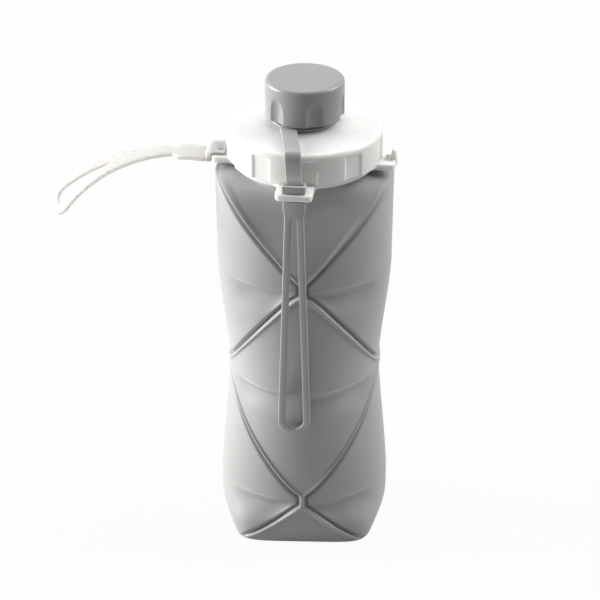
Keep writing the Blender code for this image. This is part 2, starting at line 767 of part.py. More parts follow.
def make_tether(parts, cutters, silicone):
    """A ring round the spout's foot and a flat strap over the lid into the front head."""
    bore = SPOUT_RADIUS + SEAT_GAP
    foot = LID_CROWN_Z + SEAT_GAP
    profile = (
        (bore + TETHER_RING_WALL, foot + TETHER_RING_HEIGHT),
        (bore + TETHER_RING_WALL, foot),
        (bore, foot),
        (bore, foot + TETHER_RING_HEIGHT),
    )
    tether = turned("cap_tether", profile, CAP_SEGMENTS, parts, silicone)
    path = tether_path()

    def build(shape):
        pairs = []
        for centre, across in path:
            left = shape.verts.new(centre - across * TETHER_WIDTH / 2)
            right = shape.verts.new(centre + across * TETHER_WIDTH / 2)
            pairs.append((left, right))
        for low, high in zip(pairs, pairs[1:]):
            shape.faces.new((low[0], low[1], high[1], high[0]))

    strap = add_object("tether_strap", mesh_of("tether_strap", build), cutters)
    solid = strap.modifiers.new("thickness", "SOLIDIFY")
    solid.thickness = TETHER_THICKNESS
    solid.offset = 0.0
    solid.use_even_offset = True
    combine(tether, strap, "UNION")
    return tether


def make_front_head(parts, cutters, silicone):
    """The socket on the front ear: a pocket for the tether above, and a tongue through the ear's slot."""
    centre = around(FRONT_EAR, CARRY_RADIUS, HEAD_BOTTOM + HEAD_HEIGHT / 2)
    place = Matrix.Translation(centre) @ facing(FRONT_EAR)
    head = block("loop_head", (HEAD_WIDTH, HEAD_DEPTH, HEAD_HEIGHT), place, parts, silicone)
    bevel = head.modifiers.new("edges", "BEVEL")
    bevel.width = STRAP_CHAMFER
    bevel.segments = 2
    pocket_size = (
        TETHER_WIDTH + 2 * POCKET_GAP,
        TETHER_THICKNESS + 2 * POCKET_GAP,
        2 * POCKET_DEPTH,
    )
    place = Matrix.Translation(around(FRONT_EAR, CARRY_RADIUS, HEAD_TOP)) @ facing(FRONT_EAR)
    combine(head, block("head_pocket", pocket_size, place, cutters), "DIFFERENCE")
    tongue = make_tongue("tongue", FRONT_EAR, CARRY_RADIUS, COLLAR_BOTTOM - TONGUE_DROP, cutters)
    combine(head, tongue, "UNION")
    return head


def make_tongue(name, azimuth, radius, low, cutters):
    """A straight tongue from inside a head down through its ear's slot."""
    top = HEAD_BOTTOM + SIDE_PLATE / 2
    centre = around(azimuth, radius, (top + low) / 2)
    place = Matrix.Translation(centre) @ facing(azimuth)
    return block(name, (TONGUE_WIDTH, STRAP_THICKNESS, top - low), place, cutters)


def upright_at(azimuth):
    """Stands a plate up, so that its X runs outwards at this azimuth and its Y runs up."""
    return Matrix.Rotation(azimuth - math.pi / 2, 4, "Z") @ Matrix.Rotation(math.pi / 2, 4, "X")


def side_head_outline():
    """Side view of the side loop's head: a plate over the ear with a lip down the ear's outer edge."""
    inside = EAR_REACH + SEAT_GAP
    corner = SIDE_PLATE / 2
    outline = [(SIDE_HEAD_BACK, HEAD_BOTTOM), (inside, HEAD_BOTTOM), (inside, SIDE_HEAD_BOTTOM)]
    outline.append((SIDE_HEAD_FRONT, SIDE_HEAD_BOTTOM))
    turn = (SIDE_HEAD_FRONT - corner, SIDE_HEAD_TOP - corner)
    return outline + arc(turn, corner, 0.0, math.pi / 2, ARC_STEPS) + [(SIDE_HEAD_BACK, SIDE_HEAD_TOP)]


def make_side_head(parts, cutters, silicone):
    """The hooked head on the left ear, with a tongue down into the slot and a small moulding hole."""
    mesh = plate_mesh("side_loop_head", [side_head_outline()], SIDE_HEAD_WIDTH, STRAP_CHAMFER)
    head = add_object("side_loop_head", mesh, parts, silicone)
    head.matrix_world = upright_at(LEFT_EAR)
    combine(head, make_tongue("side_tongue", LEFT_EAR, SLOT_RADIUS, COLLAR_BOTTOM, cutters), "UNION")

    def build(shape):
        bmesh.ops.create_cone(
            shape,
            cap_ends=True,
            segments=16,
            radius1=SIDE_HOLE_RADIUS,
            radius2=SIDE_HOLE_RADIUS,
            depth=2 * SIDE_HOLE_DEPTH,
        )

    hole = add_object("side_head_hole", mesh_of("side_head_hole", build), cutters)
    towards_front = facing(LEFT_EAR) @ Vector((SIDE_HOLE_SHIFT, 0.0, 0.0))
    hole.location = around(LEFT_EAR, SLOT_RADIUS, SIDE_HEAD_TOP) + towards_front
    combine(head, hole, "DIFFERENCE")
    return head


def loop_outlines(length, root, root_width, neck, neck_width, end_width, slit_start, strand):
    """Outer outline and opening of a strap loop that runs along +Y from its hinge axis at y = 0."""
    end_radius = end_width / 2
    straight = length - end_radius
    inner_radius = end_radius - strand
    right = [(root_width / 2, -STRAP_THICKNESS / 2), (root_width / 2, root), (neck_width / 2, neck)]
    right.append((end_radius, straight))
    turn = arc((0.0, straight), end_radius, 0.0, math.pi, 2 * ARC_STEPS)
    outer = right + turn[1:-1] + [(-x, y) for x, y in reversed(right)]
    share = (slit_start - neck) / (straight - neck)
    slit_half = neck_width / 2 + (end_radius - neck_width / 2) * share - strand
    slit_half = max(slit_half, STRAP_CHAMFER + SEAT_GAP)
    slit_top = arc((0.0, slit_start), slit_half, -math.pi, 0.0, ARC_STEPS)
    opening = slit_top + arc((0.0, straight), inner_radius, 0.0, math.pi, 2 * ARC_STEPS)
    return [outer, opening]


def strap_mesh(name, outlines, bend, rows):
    """A loop cut from a flat plate and bent to a path.

    The bend gives (out, down, slope, twist) at a distance along the strap.
    """
    mesh = plate_mesh(name, outlines, STRAP_THICKNESS, STRAP_CHAMFER)
    shape = bmesh.new()
    shape.from_mesh(mesh)
    for row in rows:
        geometry = shape.verts[:] + shape.edges[:] + shape.faces[:]
        bmesh.ops.bisect_plane(shape, geom=geometry, plane_co=(0, row, 0), plane_no=(0, 1, 0), dist=0.000001)
    bmesh.ops.triangulate(shape, faces=shape.faces)
    for vert in shape.verts:
        across, distance, lift = vert.co
        out, down, slope, twist = bend(distance)
        side = -across * math.cos(twist) - lift * math.sin(twist)
        rise = -across * math.sin(twist) + lift * math.cos(twist)
        vert.co = (side, -out - rise * math.sin(slope), rise * math.cos(slope) - down)
    shape.to_mesh(mesh)
    shape.free()
    smooth(mesh, math.radians(40))
    return mesh


def hanging(distance):
    """The carry loop hangs straight down from its hinge."""
    return 0.0, distance, math.pi / 2, 0.0


def drooping(distance):
    """The side loop leaves its hinge a little upwards, and its slope and twist grow at a steady rate."""
    turn = (SIDE_END_SLOPE - SIDE_START_SLOPE) / SIDE_LENGTH
    slope = SIDE_START_SLOPE + turn * distance
    out = (math.sin(slope) - math.sin(SIDE_START_SLOPE)) / turn
    down = (math.cos(SIDE_START_SLOPE) - math.cos(slope)) / turn
    return out, down, slope, SIDE_TWIST * distance / SIDE_LENGTH


def make_loop(name, outlines, bend, rows, azimuth, hinge, parts, silicone):
    """A loop whose origin lies on its hinge axis, near the root of the strap."""
    mesh = strap_mesh(name, outlines, bend, rows)
    loop = add_object(name, mesh, parts, silicone)
    loop.matrix_world = Matrix.Translation(hinge) @ facing(azimuth)
    return loop


def make_loops(parts, grey, white):
    carry = loop_outlines(
        CARRY_LENGTH,
        CARRY_ROOT,
        CARRY_ROOT_WIDTH,
        CARRY_NECK,
        CARRY_NECK_WIDTH,
        CARRY_END_WIDTH,
        CARRY_SLIT_START,
        CARRY_STRAND,
    )
    hinge = around(FRONT_EAR, CARRY_RADIUS, CARRY_HINGE_Z)
    make_loop("carry_loop", carry, hanging, (), FRONT_EAR, hinge, parts, grey)
    side = loop_outlines(
        SIDE_LENGTH,
        SIDE_ROOT,
        SIDE_ROOT_WIDTH,
        SIDE_NECK,
        SIDE_NECK_WIDTH,
        SIDE_END_WIDTH,
        SIDE_SLIT_START,
        SIDE_STRAND,
    )
    hinge = around(LEFT_EAR, SIDE_HINGE_RADIUS, SIDE_HINGE_Z)
    rows = [SIDE_LENGTH * index / SIDE_BEND_ROWS for index in range(SIDE_BEND_ROWS)]
    make_loop("side_loop", side, drooping, rows, LEFT_EAR, hinge, parts, white)


def main():
    empty_scene()
    parts = new_collection("collapsible_water_bottle")
    cutters = new_collection("cutters")
    silicone = new_material("grey silicone", (0.22, 0.22, 0.21), 0.55)
    white_silicone = new_material("white silicone", (0.82, 0.80, 0.76), 0.45)
    white_plastic = new_material("white polypropylene", (0.86, 0.86, 0.84), 0.30)
    grey_plastic = new_material("grey polypropylene", (0.24, 0.25, 0.24), 0.45)
    seal_rubber = new_material("clear silicone", (0.75, 0.75, 0.72), 0.40)
    make_body(parts, silicone)
    make_neck_ring(parts, white_plastic)
    make_collar(parts, cutters, white_plastic)
    make_gasket(parts, seal_rubber)
    make_lid(parts, cutters, white_plastic)
    make_tether(parts, cutters, silicone)
    make_front_head(parts, cutters, silicone)
    make_side_head(parts, cutters, white_silicone)
    make_loops(parts, silicone, white_silicone)
    make_cap(parts, cutters, grey_plastic)
    make_cap_seal(parts, seal_rubber)


main()
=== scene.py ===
"""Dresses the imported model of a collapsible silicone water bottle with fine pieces, materials and a studio.

Metres, +Z up, in the frame of the CAD model. The bottle stands on z = 0 with its front facing -Y.
An azimuth is measured from the front, positive towards +X.
"""

import json
import math

import bmesh
import bpy
from bpy.props import FloatProperty, FloatVectorProperty, IntProperty, PointerProperty
from mathutils import Matrix, Vector


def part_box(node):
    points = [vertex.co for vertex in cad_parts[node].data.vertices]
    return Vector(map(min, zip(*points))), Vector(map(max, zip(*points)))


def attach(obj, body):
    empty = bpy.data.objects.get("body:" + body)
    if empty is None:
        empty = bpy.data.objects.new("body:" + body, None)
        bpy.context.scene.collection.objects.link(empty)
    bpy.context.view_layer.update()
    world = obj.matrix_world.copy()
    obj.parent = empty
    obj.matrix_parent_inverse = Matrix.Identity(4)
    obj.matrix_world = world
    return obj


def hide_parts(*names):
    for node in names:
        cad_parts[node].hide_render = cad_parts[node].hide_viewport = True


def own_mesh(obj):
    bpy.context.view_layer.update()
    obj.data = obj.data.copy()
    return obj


bl_info = {
    "name": "Collapsible Water Bottle",
    "version": (1, 0, 0),
    "blender": (4, 5, 0),
    "location": "View3D > Sidebar > Bottle",
    "description": "Builds the visible pieces of a collapsible silicone water bottle over its CAD frame",
    "category": "Add Mesh",
}

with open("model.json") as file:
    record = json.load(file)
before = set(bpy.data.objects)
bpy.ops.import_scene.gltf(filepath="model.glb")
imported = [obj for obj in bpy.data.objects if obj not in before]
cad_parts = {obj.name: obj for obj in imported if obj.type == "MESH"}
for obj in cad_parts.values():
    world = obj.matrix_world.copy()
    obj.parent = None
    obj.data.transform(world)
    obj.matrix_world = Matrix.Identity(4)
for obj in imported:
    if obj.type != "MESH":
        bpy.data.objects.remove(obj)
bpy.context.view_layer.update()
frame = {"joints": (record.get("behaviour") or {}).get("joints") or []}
# Gap between pieces that seat on each other
SEAT_GAP = 0.0003
# A length under this counts as none
TINY = 0.00001
# Points closer than this are joined
WELD = 0.000001

# Sizes that the frame gives
NECK_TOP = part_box("bottle_body")[1].z
NECK_RING_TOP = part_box("neck_ring")[1].z
NECK_RING_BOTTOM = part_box("neck_ring")[0].z
THREAD_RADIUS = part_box("neck_ring")[1].x
LID_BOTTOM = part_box("lid")[0].z
LID_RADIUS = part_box("lid")[1].x
SPOUT_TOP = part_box("lid")[1].z
GASKET_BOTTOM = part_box("lid_gasket")[0].z
GASKET_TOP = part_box("lid_gasket")[1].z
CAP_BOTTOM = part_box("cap")[0].z
CAP_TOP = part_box("cap")[1].z
CAP_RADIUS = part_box("cap")[1].y
COLLAR_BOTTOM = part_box("collar_ring")[0].z
SIDE_HEAD_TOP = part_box("side_loop_head")[1].z
HINGES = {joint["name"]: Vector(joint["pos_m"]) for joint in frame["joints"] if "pos_m" in joint}


def length(name, description, default):
    """A size in metres that the sidebar shows."""
    return FloatProperty(name=name, description=description, default=default, unit="LENGTH", precision=5)


def turn(name, description, degrees):
    """An angle that the sidebar shows in degrees."""
    return FloatProperty(name=name, description=description, default=math.radians(degrees), unit="ROTATION")


def linear(hex_colour):
    """An sRGB hex colour as linear red, green and blue."""
    channels = [int(hex_colour[start : start + 2], 16) / 255 for start in (1, 3, 5)]
    return tuple(c / 12.92 if c <= 0.04045 else ((c + 0.055) / 1.055) ** 2.4 for c in channels)


def number(name, description, default):
    """A plain number that the sidebar shows."""
    return FloatProperty(name=name, description=description, default=default, precision=3)


def how_many(name, description, default):
    """A number of like forms that the sidebar shows."""
    return IntProperty(name=name, description=description, default=default, min=1)


def colour(name, description, hex_colour):
    """A colour that the sidebar shows as a swatch."""
    return FloatVectorProperty(
        name=name,
        description=description,
        default=linear(hex_colour),
        subtype="COLOR",
        min=0.0,
        max=1.0,
    )


class FoldBodySizes(bpy.types.PropertyGroup):
    """Sizes of the silicone body that folds flat."""

    shoulder_top: length("Shoulder top", "Height of the shoulder, where the neck starts", 0.1700)
    upper_corner: length("Upper corner", "Height of the upper fold corner at the front", 0.1265)
    middle_corner: length("Middle corner", "Height of the fold corners at the sides", 0.0795)
    lower_corner: length("Lower corner", "Height of the lower fold corner at the front", 0.0230)
    shoulder_radius: length("Shoulder radius", "Half width at the shoulder", 0.0376)
    bulge_radius: length("Bulge radius", "Half width where a face swells", 0.0372)
    corner_radius: length("Corner radius", "Half width at a fold corner", 0.0323)
    foot_radius: length("Foot radius", "Half width across the sides above the base", 0.0366)
    base_half_width: length("Base half width", "Half width of the rounded square base", 0.0300)
    base_squareness: number("Base squareness", "How square the base is, where 2 is round", 6.0)
    base_edge: length("Base edge", "Rounding of the base's edge", 0.0012)
    foot_rounding: length("Foot rounding", "Height over which the base swells into the sides", 0.0155)
    foot_fade: number("Foot fade", "How soon the square base turns into the oval sides", 0.75)
    shoulder_rounding: length("Shoulder rounding", "Rounding of the shoulder's edge", 0.0020)
    fold_softness: number("Fold softness", "How soft the folds are, from 0 for sharp to 1", 0.5)
    wall: length("Wall", "Thickness of the silicone wall", 0.0025)
    floor: length("Floor", "Thickness of the floor", 0.0030)
    neck_radius: length("Neck radius", "Outer radius of the silicone neck", 0.0256)
    neck_meets_panel: length("Neck meets panel", "Height where the front panel runs into the neck", 0.1623)
    panel_swell: length("Panel swell", "How far the front panel swells out over the upper corner", 0.0040)
    panel_edge_power: number("Panel edge power", "How late the front panel curves out to its edges", 3.0)
    upper_crease_bow: number("Upper crease bow", "Bow of the creases under the shoulder, 1 for none", 0.91)
    belly_crease_bow: number("Belly crease bow", "Bow of the creases round the belly, 1 for none", 0.70)
    groove_depth: length("Groove depth", "Depth of a slanting crease", 0.0019)
    groove_width: length("Groove width", "Half width of a slanting crease", 0.00075)
    groove_shift: length("Groove shift", "How far the groove lies outside the panel's edge", 0.00055)
    lip_height: length("Lip height", "Height of the bead along the raised panel's edge", 0.00075)
    lip_width: length("Lip width", "Half width of that bead", 0.00085)
    lip_shift: length("Lip shift", "How far the bead lies inside the panel's edge", 0.00085)
    relief_start: length("Relief start", "Height where the creases reach their full depth", 0.0060)
    ledge_bead: length("Ledge bead", "Height of the bead along a level crease", 0.00030)
    ledge_bead_width: length("Ledge bead width", "Half width of that bead", 0.00032)
    ledge_depth: length("Ledge depth", "How far the skin sinks in under a level crease", 0.0023)
    ledge_reach: length("Ledge reach", "How far under the crease it lies deepest", 0.0036)
    ledge_fade: length("Ledge fade", "How far under the crease the skin is even again", 0.0140)
    bridge_half_width: length("Bridge half width", "Half width of the strip between two panels", 0.0013)
    upper_bridge: length("Upper bridge", "Height of the strip at the upper corner", 0.0050)
    lower_bridge: length("Lower bridge", "Height of the strip at the lower corner", 0.0050)
    side_tip: length("Side tip", "How far the creases stop from the corners at the sides", 0.0013)


class MouthSizes(bpy.types.PropertyGroup):
    """Sizes of the neck ring, the collar, the lid and the cap."""

    thread_wall: length("Thread wall", "Wall of the threaded ring", 0.0024)
    thread_height: length("Thread height", "How far a thread stands out", 0.0003)
    lid_thread_pitch: length("Lid thread pitch", "Rise of the lid in one turn", 0.0030)
    cap_thread_pitch: length("Cap thread pitch", "Rise of the cap in one turn", 0.0025)
    sleeve_radius: length("Sleeve radius", "Outer radius of the ring inside the silicone neck", 0.0228)
    sleeve_wall: length("Sleeve wall", "Wall of that ring", 0.0020)
    collar_radius: length("Collar radius", "Outer radius of the collar between its ears", 0.0298)
    collar_bore: length("Collar bore", "Radius of the collar's hole", 0.0278)
    collar_thickness: length("Collar thickness", "Thickness of the collar", 0.0028)
    collar_edge: length("Collar edge", "Rounding of the collar's edges", 0.0006)
    ear_turn: turn("Ear turn", "Azimuth of the front ear", -4.6)
    ear_reach: length("Ear reach", "Distance of an ear's outer edge from the axis", 0.0385)
    front_ear_reach: length("Front ear reach", "The same for the front ear, which holds a loop", 0.0419)
    ear_bar: length("Ear bar", "Width of the bar outside an ear's slot", 0.00225)
    ear_width: length("Ear width", "Width of an ear", 0.0153)
    ear_fillet: length("Ear fillet", "Fillet between an ear and the ring", 0.0035)
    ear_corner: length("Ear corner", "Rounding of an ear's corners", 0.0022)
    slot_width: length("Slot width", "Width of an ear's slot", 0.0070)
    slot_depth: length("Slot depth", "Depth of an ear's slot", 0.0025)
    lug_rise: length("Lug rise", "Height of the pointed lug over the collar", 0.0042)
    lug_proud: length("Lug proud", "How far the lug stands out of the ear's edge", 0.0005)
    lug_width: length("Lug width", "Width of the lug at its foot", 0.0060)
    lug_depth: length("Lug depth", "Depth of the lug at its foot", 0.0031)
    lug_tip_width: length("Lug tip width", "Width of the lug at its tip", 0.0030)
    lug_tip_depth: length("Lug tip depth", "Depth of the lug at its tip", 0.0018)
    lid_shoulder: length("Lid shoulder", "Height of the lid's rounded rim", 0.1886)
    lid_crown: length("Lid crown", "Height of the lid's top beside the spout", 0.1906)
    lid_edge: length("Lid edge", "Rounding of the lid's rim", 0.0022)
    lid_recesses: how_many("Lid recesses", "Number of grip recesses round the lid", 10)
    lid_recess_start: turn("Lid recess start", "Azimuth of the first recess", 4.0)
    lid_recess_width: length("Lid recess width", "Width of a recess", 0.0080)
    lid_recess_depth: length("Lid recess depth", "Depth of a recess at its middle", 0.0009)
    lid_recess_rim: length("Lid recess rim", "Height of the rim above the recesses", 0.0030)
    spout_radius: length("Spout radius", "Outer radius of the spout", 0.0125)
    spout_wall: length("Spout wall", "Wall of the spout", 0.0023)
    cap_edge: length("Cap edge", "Rounding of the cap's top edge", 0.0018)
    cap_scoops: how_many("Cap scoops", "Number of finger scoops round the cap", 6)
    cap_scoop_start: turn("Cap scoop start", "Azimuth of the first scoop", 16.0)
    cap_scoop_width: length("Cap scoop width", "Half width of a scoop's cutter", 0.0066)
    cap_scoop_height: length("Cap scoop height", "Height of a scoop", 0.0126)
    cap_scoop_depth: length("Cap scoop depth", "Depth of a scoop", 0.0015)


class StrapSizes(bpy.types.PropertyGroup):
    """Sizes of the tether, the heads on the ears and the two loops."""

    thickness: length("Strap thickness", "Thickness of a loop", 0.0018)
    edge: length("Strap edge", "Rounding of a strap's edges", 0.0005)
    tether_width: length("Tether width", "Width of the tether", 0.0067)
    tether_thickness: length("Tether thickness", "Thickness of the tether", 0.0015)
    tether_azimuth: turn("Tether azimuth", "Where the tether leaves its ring", -30.0)
    tether_ring_wall: length("Tether ring wall", "Wall of the ring round the spout's foot", 0.0013)
    tether_arch: length("Tether arch", "How far the tether rises off the lid beside the cap", 0.0012)
    tether_ring_height: length("Tether ring height", "Height of that ring", 0.0010)
    head_width: length("Head width", "Width of the front head", 0.0095)
    head_height: length("Head height", "Height of a head on its ear", 0.0031)
    head_depth: length("Head depth", "Depth of the front head, from its back to its front", 0.0048)
    pocket_depth: length("Pocket depth", "Depth of the pocket that holds the tether", 0.0024)
    tongue_width: length("Tongue width", "Width of the tongue in an ear's slot", 0.0063)
    tongue_drop: length("Tongue drop", "How far the front tongue reaches below the ear", 0.0010)
    side_head_width: length("Side head width", "Width of the head on the left ear", 0.0120)
    side_head_front: length("Side head front", "Distance of that head's outer face", 0.0413)
    side_head_gap: length("Side head gap", "Gap between that head and the lid", 0.0004)
    side_plate: length("Side plate", "Thickness of that head over the ear", 0.0015)
    side_lip: length("Side lip", "Thickness of that head's lip over the ear's edge", 0.0025)
    side_lip_drop: length("Side lip drop", "How far the lip reaches below the ear", 0.0005)
    side_hole_radius: length("Side hole radius", "Radius of the moulding hole in that head", 0.0007)
    side_hole_shift: length("Side hole shift", "How far the moulding hole lies towards the front", 0.0030)


class CarryLoopSizes(bpy.types.PropertyGroup):
    """Outline of the grey loop that hangs down the front, along its own length."""

    length: length("Length", "Distance from the hinge to the end", 0.1090)
    root: length("Root", "Where the root starts to narrow", 0.0026)
    root_width: length("Root width", "Width of the root", 0.0093)
    neck: length("Neck", "Where the neck lies", 0.0060)
    neck_width: length("Neck width", "Width of the neck", 0.0080)
    end_width: length("End width", "Width at the round end", 0.0138)
    slit_start: length("Slit start", "Where the slit starts", 0.0080)
    slit_width: length("Slit width", "Width of the slit where it starts", 0.0020)
    strand: length("Strand", "Width of each side of the loop", 0.0030)


class SideLoopSizes(bpy.types.PropertyGroup):
    """Outline of the pale loop on the left, along its own length, and how it droops."""

    length: length("Length", "Distance from the hinge to the end", 0.0768)
    root: length("Root", "Where the root starts to narrow", 0.0105)
    root_width: length("Root width", "Width of the root", 0.0120)
    neck: length("Neck", "Where the neck lies", 0.0135)
    neck_width: length("Neck width", "Width of the neck", 0.0062)
    end_width: length("End width", "Width at the round end", 0.0176)
    slit_start: length("Slit start", "Where the slit starts", 0.0420)
    slit_width: length("Slit width", "Width of the slit where it starts", 0.0009)
    strand: length("Strand", "Width of each side of the loop", 0.0045)
    start_slope: turn("Start slope", "Slope where the loop starts", -8.0)
    end_slope: turn("End slope", "Slope at its end", 56.0)
    twist: turn("Twist", "Twist at its end, which turns its front edge down", -27.0)


class FinishColours(bpy.types.PropertyGroup):
    """Colours of the materials."""

    grey_silicone: colour("Grey silicone", "Body, tether and carry loop", "#A9A9A7")
    pale_silicone: colour("Pale silicone", "Side loop", "#C2C0BC")
    aged_silicone: colour("Aged silicone", "Far end of the side loop", "#BAB5AF")
    clear_silicone: colour("Clear silicone", "Seals", "#D8DAD6")
    white_plastic: colour("White plastic", "Lid, collar and neck ring", "#EBECE9")
    grey_plastic: colour("Grey plastic", "Cap", "#929492")


class StudioSettings(bpy.types.PropertyGroup):
    """Camera and lamps."""

    camera_distance: length("Camera distance", "Level distance of the camera from the bottle's axis", 0.9)
    camera_height: length("Camera height", "Height of the camera over the floor", 0.584)
    camera_azimuth: turn("Camera azimuth", "Azimuth of the camera", 2.0)
    camera_pitch: turn("Camera pitch", "How far the camera looks down", 28.0)
    camera_shift: length("Camera shift", "How far the camera stands to the left", 0.0020)
    focal_length: number("Focal length", "Focal length in millimetres on a 36 mm sensor", 141.4)
    left_power: number("Left lamp", "Power of the left lamp in watts", 28.5)
    right_power: number("Right lamp", "Power of the right lamp in watts", 14.5)
    top_power: number("Top lamp", "Power of the top lamp in watts", 7.5)
    fill: number("Fill", "Strength of the even light from all round", 0.10)


# Geometry helpers


def around(azimuth, radius, height):
    """The point at this azimuth, radius and height."""
    return Vector((radius * math.sin(azimuth), -radius * math.cos(azimuth), height))


def facing(azimuth):
    """Turns local -Y to this azimuth, so local X runs along the rim there."""
    return Matrix.Rotation(azimuth, 4, "Z")


def smoothstep(low, high, value):
    """0 up to low and 1 from high on, with a smooth change between them."""
    share = min(max((value - low) / (high - low), 0.0), 1.0)
    return share * share * (3.0 - 2.0 * share)


def rounded(corners, steps=5):
    """A closed outline of (x, y, rounding) corners as plain points, each corner bent over its rounding."""
    points = []
    count = len(corners)
    for index, (x, y, rounding) in enumerate(corners):
        corner = Vector((x, y))
        if rounding == 0:
            points.append((x, y))
            continue
        before = Vector(corners[index - 1][:2]) - corner
        after = Vector(corners[(index + 1) % count][:2]) - corner
        start = corner + before.normalized() * rounding
        end = corner + after.normalized() * rounding
        for step in range(steps + 1):
            share = step / steps
            point = start.lerp(corner, share).lerp(corner.lerp(end, share), share)
            points.append((point.x, point.y))
    return points


def rounded_rectangle(width, depth, rounding, centre=(0.0, 0.0), steps=5):
    """The closed outline of a rectangle along X and Y with rounded corners."""
    corners = []
    for across, along in ((1, 1), (-1, 1), (-1, -1), (1, -1)):
        corners.append((centre[0] + across * width / 2, centre[1] + along * depth / 2, rounding))
    return rounded(corners, steps)


def dense(points, step, closed=True):
    """The same outline with points added, so that none are further apart than step."""
    found = []
    ends = points[1:] + points[:1] if closed else points[1:]
    for start, end in zip(points, ends):
        gap = math.dist(start, end)
        count = max(1, math.ceil(gap / step))
        for index in range(count):
            share = index / count
            found.append(tuple(a + (b - a) * share for a, b in zip(start, end)))
    return found if closed else found + [points[-1]]


def arc(radius, start, end, steps, centre=(0.0, 0.0)):
    """Points on an arc between two angles, measured from +X."""
    points = []
    for step in range(steps + 1):
        angle = start + (end - start) * step / steps
        points.append((centre[0] + radius * math.cos(angle), centre[1] + radius * math.sin(angle)))
    return points


def rotated(points, angle):
    """The points turned about the origin."""
    cosine = math.cos(angle)
    sine = math.sin(angle)
    return [(x * cosine - y * sine, x * sine + y * cosine) for x, y in points]


def join_rings(shape, low, high):
    """Faces between two closed rings of equal count, or between a ring and one point."""
    count = max(len(low), len(high))
    for index in range(count):
        after = (index + 1) % count
        if len(low) == 1:
            shape.faces.new((low[0], high[after], high[index]))
        elif len(high) == 1:
            shape.faces.new((low[index], low[after], high[0]))
        else:
            shape.faces.new((low[index], low[after], high[after], high[index]))


def finished(shape, name, sharp_degrees=40.0):
    """The bmesh as a smoothly shaded mesh with its faces pointing out."""
    bmesh.ops.recalc_face_normals(shape, faces=shape.faces)
    mesh = bpy.data.meshes.new(name)
    shape.to_mesh(mesh)
    shape.free()
    mesh.shade_smooth()
    mesh.set_sharp_from_angle(angle=math.radians(sharp_degrees))
    return mesh


def turned(name, profile, segments, reshape=None):
    """A closed profile of (radius, height) points turned round the axis. Reshape may move each radius."""
    shape = bmesh.new()
    rings = []
    for radius, height in profile:
        if radius < TINY:
            rings.append([shape.verts.new((0.0, 0.0, height))])
            continue
        ring = []
        for index in range(segments):
            azimuth = 2 * math.pi * index / segments
            there = reshape(azimuth, radius, height) if reshape else radius
            ring.append(shape.verts.new(around(azimuth, there, height)))
        rings.append(ring)
    pairs = list(zip(rings, rings[1:]))
    if len(rings[0]) > 1:
        pairs.append((rings[-1], rings[0]))
    for low, high in pairs:
        join_rings(shape, low, high)
    return finished(shape, name)


def plate(name, outlines, thickness, edge):
    """A flat plate between closed outlines in the XY plane, with rounded edges."""
    curve = bpy.data.curves.new(name, "CURVE")
    curve.dimensions = "2D"
    curve.fill_mode = "BOTH"
    curve.extrude = thickness / 2 - edge
    curve.bevel_depth = edge
    curve.bevel_resolution = 2
    curve.offset = -edge
    for outline in outlines:
        spline = curve.splines.new("POLY")
        spline.points.add(len(outline) - 1)
        for point, (x, y) in zip(spline.points, outline):
            point.co = (x, y, 0.0, 1.0)
        spline.use_cyclic_u = True
    guide = bpy.data.objects.new(name + "_guide", curve)
    bpy.context.scene.collection.objects.link(guide)
    bpy.context.view_layer.update()
    graph = bpy.context.evaluated_depsgraph_get()
    mesh = bpy.data.meshes.new_from_object(guide.evaluated_get(graph))
    bpy.data.objects.remove(guide)
    shape = bmesh.new()
    shape.from_mesh(mesh)
    bmesh.ops.remove_doubles(shape, verts=shape.verts, dist=WELD)
    bpy.data.meshes.remove(mesh)
    return finished(shape, name, sharp_degrees=30.0)


def ribbon(name, stations, width, thickness, edge):
    """A strap of rounded section along stations of (centre, direction of its width)."""
    section = rounded_rectangle(width, thickness, edge, steps=3)
    shape = bmesh.new()
    rings = []
    for index, (centre, across) in enumerate(stations):
        before = stations[max(index - 1, 0)][0]
        after = stations[min(index + 1, len(stations) - 1)][0]
        along = (after - before).normalized()
        normal = across.cross(along).normalized()
        rings.append([shape.verts.new(centre + across * x + normal * y) for x, y in section])
    for low, high in zip(rings, rings[1:]):
        join_rings(shape, low, high)
    shape.faces.new(rings[0])
    shape.faces.new(rings[-1])
    return finished(shape, name, sharp_degrees=50.0)


def smoothed(stations, steps=6):
    """The stations with more between them, on a smooth curve through all of them."""
    found = []
    last = len(stations) - 1
    for index in range(last):
        four = [stations[min(max(index + shift, 0), last)] for shift in (-1, 0, 1, 2)]
        for step in range(steps):
            found.append(tuple(curve_point([s[part] for s in four], step / steps) for part in (0, 1)))
    found.append(stations[-1])
    return [(centre, across.normalized()) for centre, across in found]


def curve_point(points, share):
    """The point at this share between the second and third of four points, on a Catmull-Rom curve."""
    before, start, end, after = points
    first = start * 2
    second = (end - before) * share
    third = (before * 2 - start * 5 + end * 4 - after) * share**2
    fourth = (start * 3 - before - end * 3 + after) * share**3
    return (first + second + third + fourth) / 2


def merged(name, parts):
    """Several (mesh, matrix) parts as one mesh."""
    shape = bmesh.new()
    for mesh, place in parts:
        mesh.transform(place)
        shape.from_mesh(mesh)
        bpy.data.meshes.remove(mesh)
    mesh = bpy.data.meshes.new(name)
    shape.to_mesh(mesh)
    shape.free()
    return mesh


def show(mesh, body, node, slot):
    """Shows a mesh as the piece that stands for a CAD node and moves with its CAD body."""
    mesh.materials.clear()
    mesh.materials.append(finish(slot))
    piece = bpy.data.objects.new(mesh.name, mesh)
    bpy.context.scene.collection.objects.link(piece)
    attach(piece, body)
    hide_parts(node)
    return piece


# Materials

SILICONE_IOR = 1.41
POLYPROPYLENE_IOR = 1.49
# Size of the faint clouds in a moulded colour
CLOUD_MM = 22.0
# A noise stays mostly between these values
NOISE_LOW = 0.3
NOISE_HIGH = 0.7
